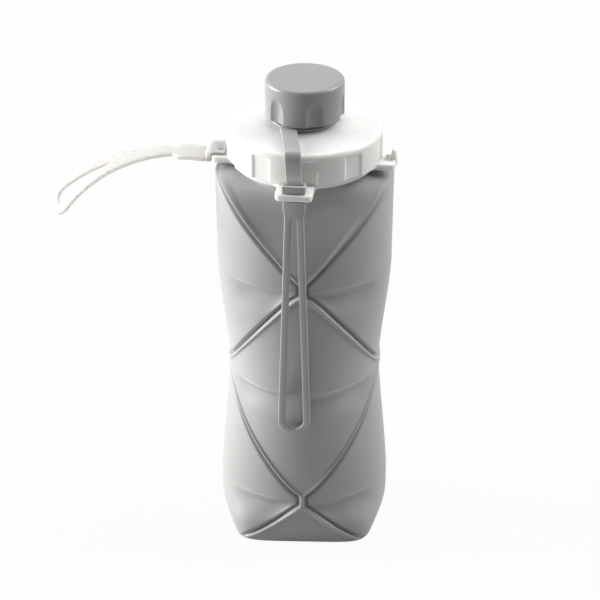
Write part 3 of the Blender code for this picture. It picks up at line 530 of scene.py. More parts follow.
# How far the roughness strays from its middle value
ROUGHNESS_SPREAD = 0.04
# A colour mix node's sockets: its share, its two colours and its result
MIX_SHARE = 0
MIX_FIRST = 6
MIX_SECOND = 7
MIX_RESULT = 2
# Inside a milky plastic, red light goes a little further than green, and green than blue
LIGHT_REACH = (1.0, 0.9, 0.8)
# The side loop yellows between these places along X, left of the bottle's axis
AGED_START = -0.070
AGED_END = -0.100


def add_node(tree, kind, inputs=None, **settings):
    """Adds a node with its settings. Each input is a value, or a socket to link from."""
    made = tree.nodes.new(kind)
    for name, value in settings.items():
        setattr(made, name, value)
    for name, value in (inputs or {}).items():
        if isinstance(value, bpy.types.NodeSocket):
            tree.links.new(value, made.inputs[name])
        else:
            made.inputs[name].default_value = value
    return made


def per_metre(millimetres):
    """The scale of a noise whose features are this size."""
    return 1000.0 / millimetres


def moulded(name, base, roughness, ior, grain_mm, grain_height_mm, mottle, other=None, mask=None):
    """A moulded finish: a colour with faint cloudy mottling, uneven roughness and a fine grain.

    The other colour takes over where the mask, a function that adds nodes, gives 1.
    """
    material = bpy.data.materials.new(name)
    material.use_nodes = True
    tree = material.node_tree
    shader = tree.nodes["Principled BSDF"]
    place = add_node(tree, "ShaderNodeTexCoord").outputs["Object"]
    cloud_inputs = {"Vector": place, "Scale": per_metre(CLOUD_MM), "Detail": 3.0}
    clouds = add_node(tree, "ShaderNodeTexNoise", cloud_inputs).outputs["Fac"]
    spread = {"Value": clouds, "From Min": NOISE_LOW, "From Max": NOISE_HIGH}
    tint = (*base, 1.0)
    if other is not None:
        ends = {MIX_SHARE: mask(tree, place), MIX_FIRST: tint, MIX_SECOND: (*other, 1.0)}
        tint = add_node(tree, "ShaderNodeMix", ends, data_type="RGBA").outputs[MIX_RESULT]
    shades = {**spread, "To Min": 1.0 - mottle, "To Max": 1.0 + mottle}
    shade = add_node(tree, "ShaderNodeMapRange", shades).outputs["Result"]
    factors = {MIX_SHARE: 1.0, MIX_FIRST: tint, MIX_SECOND: shade}
    coloured = add_node(tree, "ShaderNodeMix", factors, data_type="RGBA", blend_type="MULTIPLY")
    tree.links.new(coloured.outputs[MIX_RESULT], shader.inputs["Base Color"])
    glosses = {**spread, "To Min": roughness - ROUGHNESS_SPREAD, "To Max": roughness + ROUGHNESS_SPREAD}
    gloss = add_node(tree, "ShaderNodeMapRange", glosses)
    tree.links.new(gloss.outputs["Result"], shader.inputs["Roughness"])
    grain_inputs = {"Vector": place, "Scale": per_metre(grain_mm), "Detail": 2.0}
    grain = add_node(tree, "ShaderNodeTexNoise", grain_inputs).outputs["Fac"]
    bump_inputs = {"Height": grain, "Distance": grain_height_mm / 1000.0, "Strength": 1.0}
    bump = add_node(tree, "ShaderNodeBump", bump_inputs)
    tree.links.new(bump.outputs["Normal"], shader.inputs["Normal"])
    shader.inputs["IOR"].default_value = ior
    shader.inputs["Metallic"].default_value = 0.0
    return material


def let_light_in(material, weight, depth_mm):
    """Light enters the surface and travels about this far inside, as in a milky plastic."""
    shader = material.node_tree.nodes["Principled BSDF"]
    shader.inputs["Subsurface Weight"].default_value = weight
    shader.inputs["Subsurface Scale"].default_value = depth_mm / 1000.0
    shader.inputs["Subsurface Radius"].default_value = LIGHT_REACH


def grey_silicone(colours):
    """Compression moulded silicone rubber: matte, with a soft bloom at its edges.

    The mould's blasted grain is about 0.1 mm. It is drawn at 0.9 mm, so that it shows as a faint tooth.
    """
    material = moulded(
        "silicone_moulded_grey",
        colours.grey_silicone,
        roughness=0.50,
        ior=SILICONE_IOR,
        grain_mm=0.9,
        grain_height_mm=0.006,
        mottle=0.03,
    )
    shader = material.node_tree.nodes["Principled BSDF"]
    shader.inputs["Sheen Weight"].default_value = 0.12
    shader.inputs["Sheen Roughness"].default_value = 0.45
    return material


def far_end(tree, place):
    """A socket that is 1 at the far end of the side loop."""
    parts = add_node(tree, "ShaderNodeSeparateXYZ", {"Vector": place})
    limits = {"Value": parts.outputs["X"], "From Min": AGED_START, "From Max": AGED_END}
    return add_node(tree, "ShaderNodeMapRange", limits).outputs["Result"]


def pale_silicone(colours):
    """Moulded unpigmented silicone: milky, with light inside it and a slightly yellowed end.

    Light crosses it from side to side, so its shaded edges stay pale.
    """
    material = moulded(
        "silicone_moulded_milky",
        colours.pale_silicone,
        roughness=0.40,
        ior=SILICONE_IOR,
        grain_mm=1.2,
        grain_height_mm=0.003,
        mottle=0.02,
        other=colours.aged_silicone,
        mask=far_end,
    )
    let_light_in(material, weight=1.0, depth_mm=14.0)
    return material


def clear_silicone(colours):
    """Die cut silicone sheet for the seals: clearer, smooth and a little wet looking."""
    material = moulded(
        "silicone_sheet_clear",
        colours.clear_silicone,
        roughness=0.30,
        ior=SILICONE_IOR,
        grain_mm=2.0,
        grain_height_mm=0.004,
        mottle=0.02,
    )
    let_light_in(material, weight=0.7, depth_mm=2.0)
    return material


def white_plastic(colours):
    """Injection moulded polypropylene with white pigment: waxy gloss, light bleeding through thin walls.

    The flow of the melt leaves waves about 5 mm long, which bend the reflections a little.
    """
    material = moulded(
        "polypropylene_moulded_white",
        colours.white_plastic,
        roughness=0.27,
        ior=POLYPROPYLENE_IOR,
        grain_mm=5.0,
        grain_height_mm=0.004,
        mottle=0.012,
    )
    let_light_in(material, weight=0.45, depth_mm=4.0)
    return material


def grey_plastic(colours):
    """Injection moulded polypropylene from a spark eroded mould: a satin, finely pitted grey.

    The pits are about 0.15 mm. They are drawn at 0.8 mm, so that they show.
    """
    return moulded(
        "polypropylene_spark_eroded_grey",
        colours.grey_plastic,
        roughness=0.34,
        ior=POLYPROPYLENE_IOR,
        grain_mm=0.8,
        grain_height_mm=0.006,
        mottle=0.025,
    )


FINISHES = {
    "grey_silicone": grey_silicone,
    "white_silicone": pale_silicone,
    "seal_silicone": clear_silicone,
    "white_plastic": white_plastic,
    "grey_plastic": grey_plastic,
}


def finish(slot):
    """The material for a slot of the CAD model, made once."""
    scene = bpy.context.scene
    made = dict(scene.get("bottle_finishes") or {})
    if slot not in made:
        made[slot] = FINISHES[slot](scene.bottle_colours).name
        scene["bottle_finishes"] = made
    return bpy.data.materials[made[slot]]


# The fold body

# A level crease fades out between these angles from the front
LEDGE_FADE_START = math.radians(40.0)
LEDGE_FADE_END = math.radians(64.0)
# A level crease starts between these distances from a slanting one
LEDGE_CLEAR_START = 0.0004
LEDGE_CLEAR_END = 0.0040
# Steps of a slanting crease between two levels of fold corners
CREASE_STEPS = 14
# Under 1, this puts the front panel's widest place below the middle of its swell
PANEL_SWELL_POWER = 0.8
# Smallest angle that a crease over the upper corner may have
LEAST_ANGLE = 0.0001
# How softly the shoulder turns up into the neck
NECK_BLEND = 0.0002
# The creases fade out where the skin comes this close to the neck
RELIEF_CLEARANCE = 0.0006
# Rounding of the neck's rim, and heights over the shoulder of the rings in the neck
NECK_EDGE = 0.0004
NECK_RISES = (0.0008, 0.0025)
# The recess under the base, from its edge inwards, as (share of the base's outline, height)
BASE_RECESS = ((0.90, 0.0), (0.875, 0.0006), (0.30, 0.0006), (0.29, 0.0004))

# Columns of one quarter's mesh: before the band along the crease, in its two halves, and after it
FRONT_COLUMNS = 12
INNER_COLUMNS = 14
OUTER_COLUMNS = 12
SIDE_COLUMNS = 12
# Reach of the band to each side, and the share of the room there that it may take
BAND_REACH = 0.0042
BAND_SHARE = 0.8
# The band's middle stays this far from the quarter's ends, and its columns crowd by this power
BAND_MARGIN = 0.0018
BAND_CROWDING = 1.4
# Rows of the mesh: those in the rounded foot, the next one, and the room left under the shoulder
FOOT_ROWS = (0.0, 0.0003, 0.0007, 0.0012, 0.0018, 0.0025)
NEXT_ROW = 0.0033
ROOM_OVER_ROWS = 0.0006
# Within each distance of a fold corner's level, the step to the next row
ROW_STEPS = ((0.0009, 0.00016), (0.0045, 0.0004), (math.inf, 0.0010))
# The inner skin is plain: it starts over the floor, at this row of the outer skin, and takes every
# sixth row
INNER_FIRST_ROW = 12
INNER_ROW_STEP = 6


def crease_levels(body):
    """(height, angle) levels of the slanting crease, measured from the front or back, up one quarter."""
    half_right = math.pi / 4
    bridge = body.bridge_half_width / body.corner_radius
    low = body.lower_corner - body.lower_bridge / 2
    under_base = 0.002
    foot_rate = (half_right - bridge) / low
    belly = body.belly_crease_bow
    start = body.lower_corner + body.lower_bridge / 2
    rising = crease_band(start, body.middle_corner - body.side_tip, bridge, belly)
    start = body.upper_corner - body.upper_bridge / 2
    falling = crease_band(start, body.middle_corner + body.side_tip, bridge, belly)
    start = body.upper_corner + body.upper_bridge / 2
    top = crease_band(start, body.shoulder_top, bridge, body.upper_crease_bow)
    foot = [(-under_base, half_right + foot_rate * under_base), (low, bridge)]
    return foot + rising + falling[::-1] + top


def crease_band(start, end, bridge, bow):
    """Levels of a crease that leaves a bridge at the start height and reaches the side at the end height."""
    first = math.sin(bridge) ** (1.0 / bow)
    levels = []
    for index in range(CREASE_STEPS + 1):
        angle = bridge + (math.pi / 2 - bridge) * index / CREASE_STEPS
        share = (math.sin(angle) ** (1.0 / bow) - first) / (1.0 - first)
        levels.append((start + (end - start) * share, angle))
    return levels


def between(levels, height):
    """The values at this height, read between levels of (height, value, value, ...)."""
    if height <= levels[0][0]:
        return levels[0][1:]
    for low, high in zip(levels, levels[1:]):
        if height <= high[0]:
            share = (height - low[0]) / (high[0] - low[0])
            return tuple(a + (b - a) * share for a, b in zip(low[1:], high[1:]))
    return levels[-1][1:]


def side_and_front(body, height):
    """Half widths of the body across the sides and across the front, which swell in turn."""
    levels = (
        (body.lower_corner, body.foot_radius, body.corner_radius),
        (body.middle_corner, body.corner_radius, body.bulge_radius),
        (body.upper_corner, body.bulge_radius, body.corner_radius),
        (body.shoulder_top, body.shoulder_radius, body.shoulder_radius),
    )
    heights = [level[0] for level in levels]
    for low, high in zip(heights, heights[1:]):
        if low <= height <= high:
            share = (height - low) / (high - low)
            share += body.fold_softness * (smoothstep(0.0, 1.0, share) - share)
            return between(levels, low + (high - low) * share)
    return between(levels, height)


def oval_radius(angle, side, front):
    """Radius of an oval with these half widths across the sides and across the front."""
    return 1.0 / math.hypot(math.cos(angle) / front, math.sin(angle) / side)


def base_radius(body, angle):
    """Radius of the rounded square that the bottle stands on."""
    power = body.base_squareness
    reach = abs(math.cos(angle)) ** power + abs(math.sin(angle)) ** power
    return body.base_half_width / reach ** (1.0 / power)


def foot_reach(body, angle, height, oval):
    """Outer radius under the lowest fold corners, where the square base fades into the oval sides."""
    swell = math.sin(math.pi / 2 * min(height / body.foot_rounding, 1.0))
    foot = base_radius(body, angle) * (1.0 + (oval / body.base_half_width - 1.0) * swell)
    return foot + (oval - foot) * (height / body.lower_corner) ** body.foot_fade


def panel_radius(body, angle, height, side, front, plain):
    """Radius over the upper corner, where the front panel leans in from the creases to the neck."""
    share = (height - body.upper_corner) / (body.shoulder_top - body.upper_corner)
    crease = max(math.asin(min(share, 1.0) ** body.upper_crease_bow), LEAST_ANGLE)
    if angle >= crease:
        return plain
    up_to_neck = (height - body.upper_corner) / (body.neck_meets_panel - body.upper_corner)
    panel = body.corner_radius - (body.corner_radius - body.neck_radius) * up_to_neck
    panel += body.panel_swell * math.sin(math.pi * min(up_to_neck, 1.0) ** PANEL_SWELL_POWER)
    edge = oval_radius(crease, side, front)
    return panel + (edge - panel) * (angle / crease) ** body.panel_edge_power


def drawn_in(past, rounding):
    """How far a rounded edge draws in, this far past the place where its rounding starts."""
    share = max(0.0, past) / rounding
    return rounding * (1.0 - math.sqrt(max(0.0, 1.0 - share * share)))


def plain_radius(body, angle, height):
    """Outer radius without its creases. The angle is 0 at the front or back and 90 degrees at a side."""
    side, front = side_and_front(body, height)
    radius = oval_radius(angle, side, front)
    if height < body.lower_corner:
        radius = foot_reach(body, angle, height, radius)
    if height > body.upper_corner:
        radius = panel_radius(body, angle, height, side, front, radius)
        rounding = body.shoulder_rounding
        radius -= drawn_in(height - body.shoulder_top + rounding, rounding)
    return soft_max(radius, body.neck_radius, NECK_BLEND)


def soft_max(value, other, softness):
    """The larger of two values, with the change from one to the other rounded off."""
    return (value + other + math.sqrt((value - other) ** 2 + softness**2)) / 2


def segment_distance(point, start, end):
    """Distance of a point from the straight line between two others."""
    along = end - start
    share = min(max((point - start).dot(along) / along.length_squared, 0.0), 1.0)
    return (start + along * share - point).length


def crease_lines(body, levels):
    """The crease of one quarter as straight lines on the unrolled skin, without the gap at the side."""
    points = [Vector((angle * body.corner_radius, height)) for height, angle in levels]
    side = math.pi / 2 * body.corner_radius - TINY
    return [(start, end) for start, end in zip(points, points[1:]) if min(start.x, end.x) < side]


def bell(distance, half_width, power=2):
    """A smooth bump that is 1 at no distance. A power of 4 flattens its top."""
    return math.exp(-((distance / half_width) ** power))


def relief(body, levels, lines, angle, height):
    """How far the skin stands out or in here: the bead and groove of the creases, and the ledges."""
    point = Vector((angle * body.corner_radius, height))
    away = min(segment_distance(point, start, end) for start, end in lines)
    inside = angle < between(levels, height)[0]
    beyond = -away if inside else away
    groove = body.groove_depth * bell(beyond - body.groove_shift, body.groove_width)
    lip = body.lip_height * bell(beyond + body.lip_shift, body.lip_width, 4)
    corners = (body.middle_corner,) if inside else (body.upper_corner, body.lower_corner)
    ledge = sum(ledge_relief(body, corner - height) for corner in corners)
    clear = smoothstep(LEDGE_CLEAR_START, LEDGE_CLEAR_END, away)
    reach = clear * (1.0 - smoothstep(LEDGE_FADE_START, LEDGE_FADE_END, angle))
    return (lip - groove + ledge * reach) * smoothstep(0.0, body.relief_start, height)


def ledge_relief(body, under):
    """A level crease seen from the side: a small bead, and under it the skin sinks in and comes back."""
    ramp = min(max(under / body.ledge_reach, 0.0), 1.0)
    sunk = ramp * (1.0 - smoothstep(body.ledge_reach, body.ledge_fade, under))
    return body.ledge_bead * bell(under, body.ledge_bead_width) - body.ledge_depth * sunk


def quarter_angles(body, levels, height):
    """Angles of one quarter's columns at this height, crowded along the crease."""
    quarter = math.pi / 2
    margin = BAND_MARGIN / body.corner_radius
    reach = BAND_REACH / body.corner_radius
    crease = min(max(between(levels, height)[0], margin), quarter - margin)
    near = crease - min(reach, BAND_SHARE * crease)
    far = crease + min(reach, BAND_SHARE * (quarter - crease))
    front = [near * index / FRONT_COLUMNS for index in range(FRONT_COLUMNS)]
    inner = [(1.0 - index / INNER_COLUMNS) ** BAND_CROWDING for index in range(INNER_COLUMNS)]
    outer = [(index / OUTER_COLUMNS) ** BAND_CROWDING for index in range(OUTER_COLUMNS)]
    band = [crease - (crease - near) * share for share in inner]
    band += [crease + (far - crease) * share for share in outer]
    side = [far + (quarter - far) * index / SIDE_COLUMNS for index in range(SIDE_COLUMNS + 1)]
    return front + band + side


def body_rows(body):
    """Heights of the rows, closer together at the levels of the fold corners and in the rounded foot."""
    rows = list(FOOT_ROWS)
    height = NEXT_ROW
    corners = (body.lower_corner, body.middle_corner, body.upper_corner, body.shoulder_top)
    while height < body.shoulder_top - ROOM_OVER_ROWS:
        rows.append(height)
        nearest = min(abs(height - corner) for corner in corners)
        height += next(step for reach, step in ROW_STEPS if nearest < reach)
    return rows + [body.shoulder_top]


def skin_ring(shape, body, levels, lines, height, inset=None):
    """One closed ring of the skin. With an inset it is the plain inner skin."""
    edge = drawn_in(body.base_edge - height, body.base_edge)
    quarter = []
    for angle in quarter_angles(body, levels, height):
        radius = plain_radius(body, angle, height)
        if inset is None:
            shown = smoothstep(0.0, RELIEF_CLEARANCE, radius - body.neck_radius)
            radius += relief(body, levels, lines, angle, height) * shown - edge
        else:
            radius = max(radius - inset, body.neck_radius - inset)
        quarter.append((angle, radius))
    half = quarter + [(math.pi - angle, radius) for angle, radius in reversed(quarter[:-1])]
    other = [(2 * math.pi - azimuth, radius) for azimuth, radius in reversed(half[1:-1])]
    return [shape.verts.new(around(azimuth, radius, height)) for azimuth, radius in half + other]


def ring_over(shape, below, radius, height):
    """A round ring with each vertex over the one below it."""
    azimuths = [math.atan2(vert.co.x, -vert.co.y) for vert in below]
    return [shape.verts.new(around(azimuth, radius, height)) for azimuth in azimuths]


def scaled_ring(shape, ring, share, height):
    """The ring shrunk to a share of its width, at a height of its own."""
    return [shape.verts.new((vert.co.x * share, vert.co.y * share, height)) for vert in ring]


def fold_body_mesh(body):
    """The hollow body: creased outside, plain inside, with a moulded recess under its base."""
    shape = bmesh.new()
    levels = crease_levels(body)
    lines = crease_lines(body, levels)
    rows = body_rows(body)
    outer = [skin_ring(shape, body, levels, lines, height) for height in rows]
    for height in (*(body.shoulder_top + rise for rise in NECK_RISES), NECK_TOP - NECK_EDGE):
        outer.append(ring_over(shape, outer[-1], body.neck_radius, height))
    outer.append(ring_over(shape, outer[-1], body.neck_radius - NECK_EDGE, NECK_TOP))
    bore = body.neck_radius - body.wall
    inner = [skin_ring(shape, body, levels, lines, body.floor, body.wall)]
    for height in rows[INNER_FIRST_ROW:-1:INNER_ROW_STEP]:
        inner.append(skin_ring(shape, body, levels, lines, height, body.wall))
    inner.append(ring_over(shape, outer[-1], bore, body.shoulder_top - body.wall / 2))
    inner.append(ring_over(shape, outer[-1], bore, NECK_TOP))
    foot = [outer[0]]
    for share, height in BASE_RECESS:
        foot.append(scaled_ring(shape, outer[0], share, height))
    for skin in (outer, inner, (outer[-1], inner[-1]), foot):
        for low, high in zip(skin, skin[1:]):
            join_rings(shape, low, high)
    shape.faces.new(foot[-1])
    shape.faces.new(inner[0])
    return finished(shape, "silicone_fold_body", sharp_degrees=60.0)


# Neck ring, collar, lid and cap

# How far the lid's skirt reaches into its seat gap, so that the seam looks as tight as it does in reality
SEAM_CLOSING = 0.00018
# How far the cap's skirt reaches down past the CAD model's, over the tether's ring
CAP_SINKING = 0.0006
# A thread rises, and falls again, between these shares of its pitch
THREAD_RISE = (0.10, 0.28)
THREAD_FALL = (0.52, 0.70)
# The lid's thread runs from this far over the neck ring's flange to this far under its rim
LID_THREAD_START = 0.0008
LID_THREAD_END = 0.0006
# The cap's thread ends this far under the spout's rim, after this many turns
CAP_THREAD_END = 0.0008
CAP_THREAD_TURNS = 2.6
# A point this close to a wall's radius lies on that wall
ON_WALL = 0.0001
# Thickness of the lid and of the cap under their tops
LID_ROOF = 0.0021
CAP_ROOF = 0.0022
# Clearance of the lid round the neck ring and of the cap round the spout
LID_CLEARANCE = 0.0004
CAP_CLEARANCE = 0.0006
# Points of the cap's profile this close to its bore keep their radius, so the scoops stay outside
CAP_INNER_BAND = 0.0010
# Width of the flat round the spout, and the power by which the lid's top falls away from it
LID_FLAT = 0.0021
LID_DOME_POWER = 1.3
# How softly a recess's sides, a recess's top and a scoop's edge turn
RECESS_SOFTNESS = 0.00045
RECESS_TOP_SOFTNESS = 0.0004
SCOOP_SOFTNESS = 0.0002
# The pointed lug, from its foot up, as (share of its height, share of its section there)
LUG_LEVELS = ((0.0, 1.0), (0.82, 1.0), (0.91, 0.94), (0.97, 0.78), (1.0, 0.50))

# Segments round the axis, and distance between the points of a profile
NECK_RING_SEGMENTS = 180
LID_SEGMENTS = 600
CAP_SEGMENTS = 480
WASHER_SEGMENTS = 96
NECK_RING_STEP = 0.00025
LID_STEP = 0.0003
CAP_STEP = 0.00035
# Steps of the lid's and the cap's round edges, of an ear's roundings, of the collar's rim between two
# ears, and of its bore
EDGE_STEPS = 8
ROUNDING_STEPS = 10
RIM_STEPS = 24
BORE_STEPS = 144


def thread(azimuth, height, bottom, top, pitch, rise):
    """How far a single start thread stands out here."""
    phase = ((height - bottom) / pitch - azimuth / (2 * math.pi)) % 1.0
    ridge = smoothstep(*THREAD_RISE, phase) - smoothstep(*THREAD_FALL, phase)
    ends = smoothstep(bottom, bottom + pitch / 2, height) - smoothstep(top - pitch / 2, top, height)
    return rise * ridge * ends


def neck_ring_mesh(mouth):
    """The rigid ring: a sleeve inside the silicone neck and a threaded wall above it."""
    foot = NECK_TOP + SEAT_GAP
    step = foot + mouth.sleeve_wall
    sleeve_bore = mouth.sleeve_radius - mouth.sleeve_wall
    thread_bore = THREAD_RADIUS - mouth.thread_wall
    # Each corner's radius, height and rounding
    corners = [
        (THREAD_RADIUS, NECK_RING_TOP, 0.0004),
        (THREAD_RADIUS, foot, 0.0003),
        (mouth.sleeve_radius, foot, 0.0),
        (mouth.sleeve_radius, NECK_RING_BOTTOM, 0.0005),
        (sleeve_bore, NECK_RING_BOTTOM, 0.0005),
        (sleeve_bore, step, 0.0004),
        (thread_bore, step, 0.0004),
        (thread_bore, NECK_RING_TOP, 0.0004),
    ]

    def reshape(azimuth, radius, height):
        if radius < THREAD_RADIUS - ON_WALL:
            return radius
        bottom = foot + LID_THREAD_START
        top = NECK_RING_TOP - LID_THREAD_END
        return radius + thread(azimuth, height, bottom, top, mouth.lid_thread_pitch, mouth.thread_height)

    profile = dense(rounded(corners, steps=3), NECK_RING_STEP)
    return turned("threaded_neck_ring", profile, NECK_RING_SEGMENTS, reshape)


def slot_radius(mouth, reach):
    """Distance of the slot from the axis in an ear of this reach."""
    return reach - mouth.ear_bar - mouth.slot_depth / 2


def ear_outline(mouth, reach):
    """One ear that points along +Y, from the fillet on its right to the one on its left."""
    fillet_x = mouth.ear_width / 2 + mouth.ear_fillet
    fillet_y = math.sqrt((mouth.collar_radius + mouth.ear_fillet) ** 2 - fillet_x**2)
    start = math.atan2(-fillet_y, -fillet_x)
    corner = (-mouth.ear_width / 2 + mouth.ear_corner, reach - mouth.ear_corner)
    right = arc(mouth.ear_fillet, start, -math.pi, ROUNDING_STEPS, (fillet_x, fillet_y))
    right += [(-x, y) for x, y in arc(mouth.ear_corner, math.pi, math.pi / 2, ROUNDING_STEPS, corner)]
    return right + [(-x, y) for x, y in reversed(right)]


def collar_outlines(mouth):
    """Outer outline with four ears, the bore and the ear slots. The first ear points along +Y."""
    ear = ear_outline(mouth, mouth.ear_reach)
    start = math.atan2(ear[0][1], ear[0][0])
    end = math.atan2(ear[-1][1], ear[-1][0])
    quarter = math.pi / 2
    rim = arc(mouth.collar_radius, end, start + quarter, RIM_STEPS)[1:-1]
    outer = []
    slots = []
    for index in range(4):
        reach = mouth.ear_reach if index else mouth.front_ear_reach
        centre = (0.0, slot_radius(mouth, reach))
        slot = rounded_rectangle(mouth.slot_width, mouth.slot_depth, mouth.slot_depth / 4, centre)
        outer += rotated(ear_outline(mouth, reach) + rim, quarter * index)
        slots.append(rotated(slot, quarter * index))
    bore = arc(mouth.collar_bore, 0.0, 2 * math.pi, BORE_STEPS)[:-1]
    return [outer, bore] + slots


def lug_mesh(mouth, height):
    """The pointed lug that stands on the outer bar of the right ear, with its foot at z = 0."""
    shape = bmesh.new()
    rings = []
    for share, rounding in LUG_LEVELS:
        width = (mouth.lug_width + (mouth.lug_tip_width - mouth.lug_width) * share) * rounding
        depth = (mouth.lug_depth + (mouth.lug_tip_depth - mouth.lug_depth) * share) * rounding
        outline = rounded_rectangle(width, depth, depth / 3, steps=3)
        rings.append([shape.verts.new((x, y, height * share)) for x, y in outline])
    for low, high in zip(rings, rings[1:]):
        join_rings(shape, low, high)
    shape.faces.new(rings[0])
    shape.faces.new(rings[-1])
    return finished(shape, "lug", sharp_degrees=60.0)


def collar_mesh(mouth):
    """The eared collar with its lug, as one moulding."""
    ring = plate("eared_collar", collar_outlines(mouth), mouth.collar_thickness, mouth.collar_edge)
    middle = COLLAR_BOTTOM + mouth.collar_thickness / 2
    ring_place = Matrix.Translation((0, 0, middle)) @ facing(math.pi + mouth.ear_turn)
    right_ear = mouth.ear_turn + math.pi / 2
    lug_foot = COLLAR_BOTTOM + mouth.collar_edge
    lug = lug_mesh(mouth, mouth.collar_thickness - mouth.collar_edge + mouth.lug_rise)
    lug_radius = mouth.ear_reach + mouth.lug_proud - mouth.lug_depth / 2
    lug_place = Matrix.Translation(around(right_ear, lug_radius, lug_foot)) @ facing(right_ear)
    return merged("eared_collar_ring", [(ring, ring_place), (lug, lug_place)])


def lid_top(mouth, radius):
    """Height of the lid's domed top at this radius."""
    flat = mouth.spout_radius + LID_FLAT
    shoulder = LID_RADIUS - mouth.lid_edge
    share = min(max((radius - flat) / (shoulder - flat), 0.0), 1.0)
    return mouth.lid_crown - (mouth.lid_crown - mouth.lid_shoulder) * share**LID_DOME_POWER


def recess_depth(mouth, azimuth):
    """How deep a grip recess is here. Its floor is flat, so it is deepest at its middle."""
    pitch = 2 * math.pi / mouth.lid_recesses
    away = abs((azimuth - mouth.lid_recess_start + pitch / 2) % pitch - pitch / 2)
    half = mouth.lid_recess_width / 2
    across = LID_RADIUS * math.sin(away)
    share = 1.0 - smoothstep(half - RECESS_SOFTNESS, half + RECESS_SOFTNESS, across)
    floor = (LID_RADIUS - mouth.lid_recess_depth) / math.cos(away)
    return (LID_RADIUS - floor) * share


def lid_outline(mouth):
    """Half of the lid's section: over the spout's rim, down its wall, over the dome and back inside."""
    wall = mouth.spout_radius
    spout_bore = wall - mouth.spout_wall
    shoulder = LID_RADIUS - mouth.lid_edge
    # Bevels of the spout's rim and of the skirt, and the fillet at the spout's foot
    inner_bevel = 0.0004
    outer_bevel = 0.0005
    skirt_bevel = 0.0002
    fillet_height = 0.0006
    fillet_width = 0.0008
    fillet_hollow = 0.0002
    spout = [(spout_bore, SPOUT_TOP - inner_bevel), (spout_bore + inner_bevel, SPOUT_TOP)]
    spout += [(wall - outer_bevel, SPOUT_TOP), (wall, SPOUT_TOP - outer_bevel)]
    spout += [(wall, mouth.lid_crown + fillet_height)]
    spout += [(wall + fillet_hollow, mouth.lid_crown + fillet_hollow)]
    dome_start = wall + fillet_width
    dome_steps = 12
    dome = []
    for step in range(dome_steps + 1):
        radius = dome_start + (shoulder - dome_start) * step / dome_steps
        dome.append((radius, lid_top(mouth, radius)))
    edge_centre = (shoulder, mouth.lid_shoulder - mouth.lid_edge)
    rim = arc(mouth.lid_edge, math.pi / 2, 0.0, EDGE_STEPS, edge_centre)
    foot = LID_BOTTOM - SEAM_CLOSING
    skirt = rim[1:] + [(LID_RADIUS, foot + skirt_bevel), (LID_RADIUS - skirt_bevel, foot)]
    bore = THREAD_RADIUS + LID_CLEARANCE
    seat = GASKET_TOP + SEAT_GAP
    under = mouth.lid_crown - LID_ROOF
    inside = [(bore, foot), (bore, seat), (THREAD_RADIUS - mouth.thread_wall - mouth.sleeve_wall, seat)]
    inside += [(wall, under), (spout_bore, under)]
    return dense(spout, LID_STEP, closed=False) + dome + dense(skirt, LID_STEP, closed=False) + inside


def lid_mesh(mouth):
    """The screw lid: a domed top, grip recesses round its rim and a threaded spout."""
    shoulder = LID_RADIUS - mouth.lid_edge
    recess_top = mouth.lid_shoulder - mouth.lid_recess_rim
    thread_top = SPOUT_TOP - CAP_THREAD_END
    thread_foot = thread_top - CAP_THREAD_TURNS * mouth.cap_thread_pitch

    def reshape(azimuth, radius, height):
        if abs(radius - mouth.spout_radius) < ON_WALL:
            pitch = mouth.cap_thread_pitch
            return radius + thread(azimuth, height, thread_foot, thread_top, pitch, mouth.thread_height)
        if radius < shoulder:
            return radius
        low = recess_top - RECESS_TOP_SOFTNESS
        below_rim = 1.0 - smoothstep(low, recess_top + RECESS_TOP_SOFTNESS, height)
        return radius - recess_depth(mouth, azimuth) * below_rim

    return turned("screw_lid", lid_outline(mouth), LID_SEGMENTS, reshape)


def scoop_radius(mouth, azimuth, height):
    """How far out the cap's side may reach. The scoops are round in plan and arched at their tops."""
    pitch = 2 * math.pi / mouth.cap_scoops
    away = (azimuth - mouth.cap_scoop_start + pitch / 2) % pitch - pitch / 2
    level = (height - CAP_BOTTOM) / mouth.cap_scoop_height
    centre = CAP_RADIUS - mouth.cap_scoop_depth + mouth.cap_scoop_width
    room = mouth.cap_scoop_width**2 * max(0.0, 1.0 - level**4) - (centre * math.sin(away)) ** 2
    if room <= 0:
        return CAP_RADIUS * 2
    return centre * math.cos(away) - math.sqrt(room)


def cap_mesh(mouth):
    """The screw cap with its finger scoops."""
    bore = mouth.spout_radius + CAP_CLEARANCE
    ceiling = CAP_TOP - CAP_ROOF
    foot = CAP_BOTTOM - CAP_SINKING
    foot_bevel = 0.0003
    edge_centre = (CAP_RADIUS - mouth.cap_edge, CAP_TOP - mouth.cap_edge)
    outline = [(0.0, CAP_TOP), (CAP_RADIUS / 2, CAP_TOP)]
    outline += arc(mouth.cap_edge, math.pi / 2, 0.0, EDGE_STEPS, edge_centre)
    outline += [(CAP_RADIUS, foot + foot_bevel), (CAP_RADIUS - foot_bevel, foot)]
    outline += [(bore, foot), (bore, ceiling), (0.0, ceiling)]
    inside_the_wall = bore + CAP_INNER_BAND

    def reshape(azimuth, radius, height):
        if radius <= inside_the_wall:
            return radius
        return -soft_max(-radius, -scoop_radius(mouth, azimuth, height), SCOOP_SOFTNESS)

    return turned("spout_cap", dense(outline, CAP_STEP, closed=False), CAP_SEGMENTS, reshape)


def washer_mesh(name, inner, outer, bottom, top, edge=0.0003):
    """A flat ring with rounded edges."""
    corners = [(outer, top, edge), (outer, bottom, edge), (inner, bottom, edge), (inner, top, edge)]
    return turned(name, rounded(corners, steps=3), WASHER_SEGMENTS)


# Tether, heads and loops

# Distance between the rows of a bent loop
LOOP_STEP = 0.0015
# Steps of a loop's round end, and of the round start of its slit
LOOP_END_STEPS = 24
SLIT_START_STEPS = 10
# Rounding of a loop's corners at its root
ROOT_CORNER = 0.0003
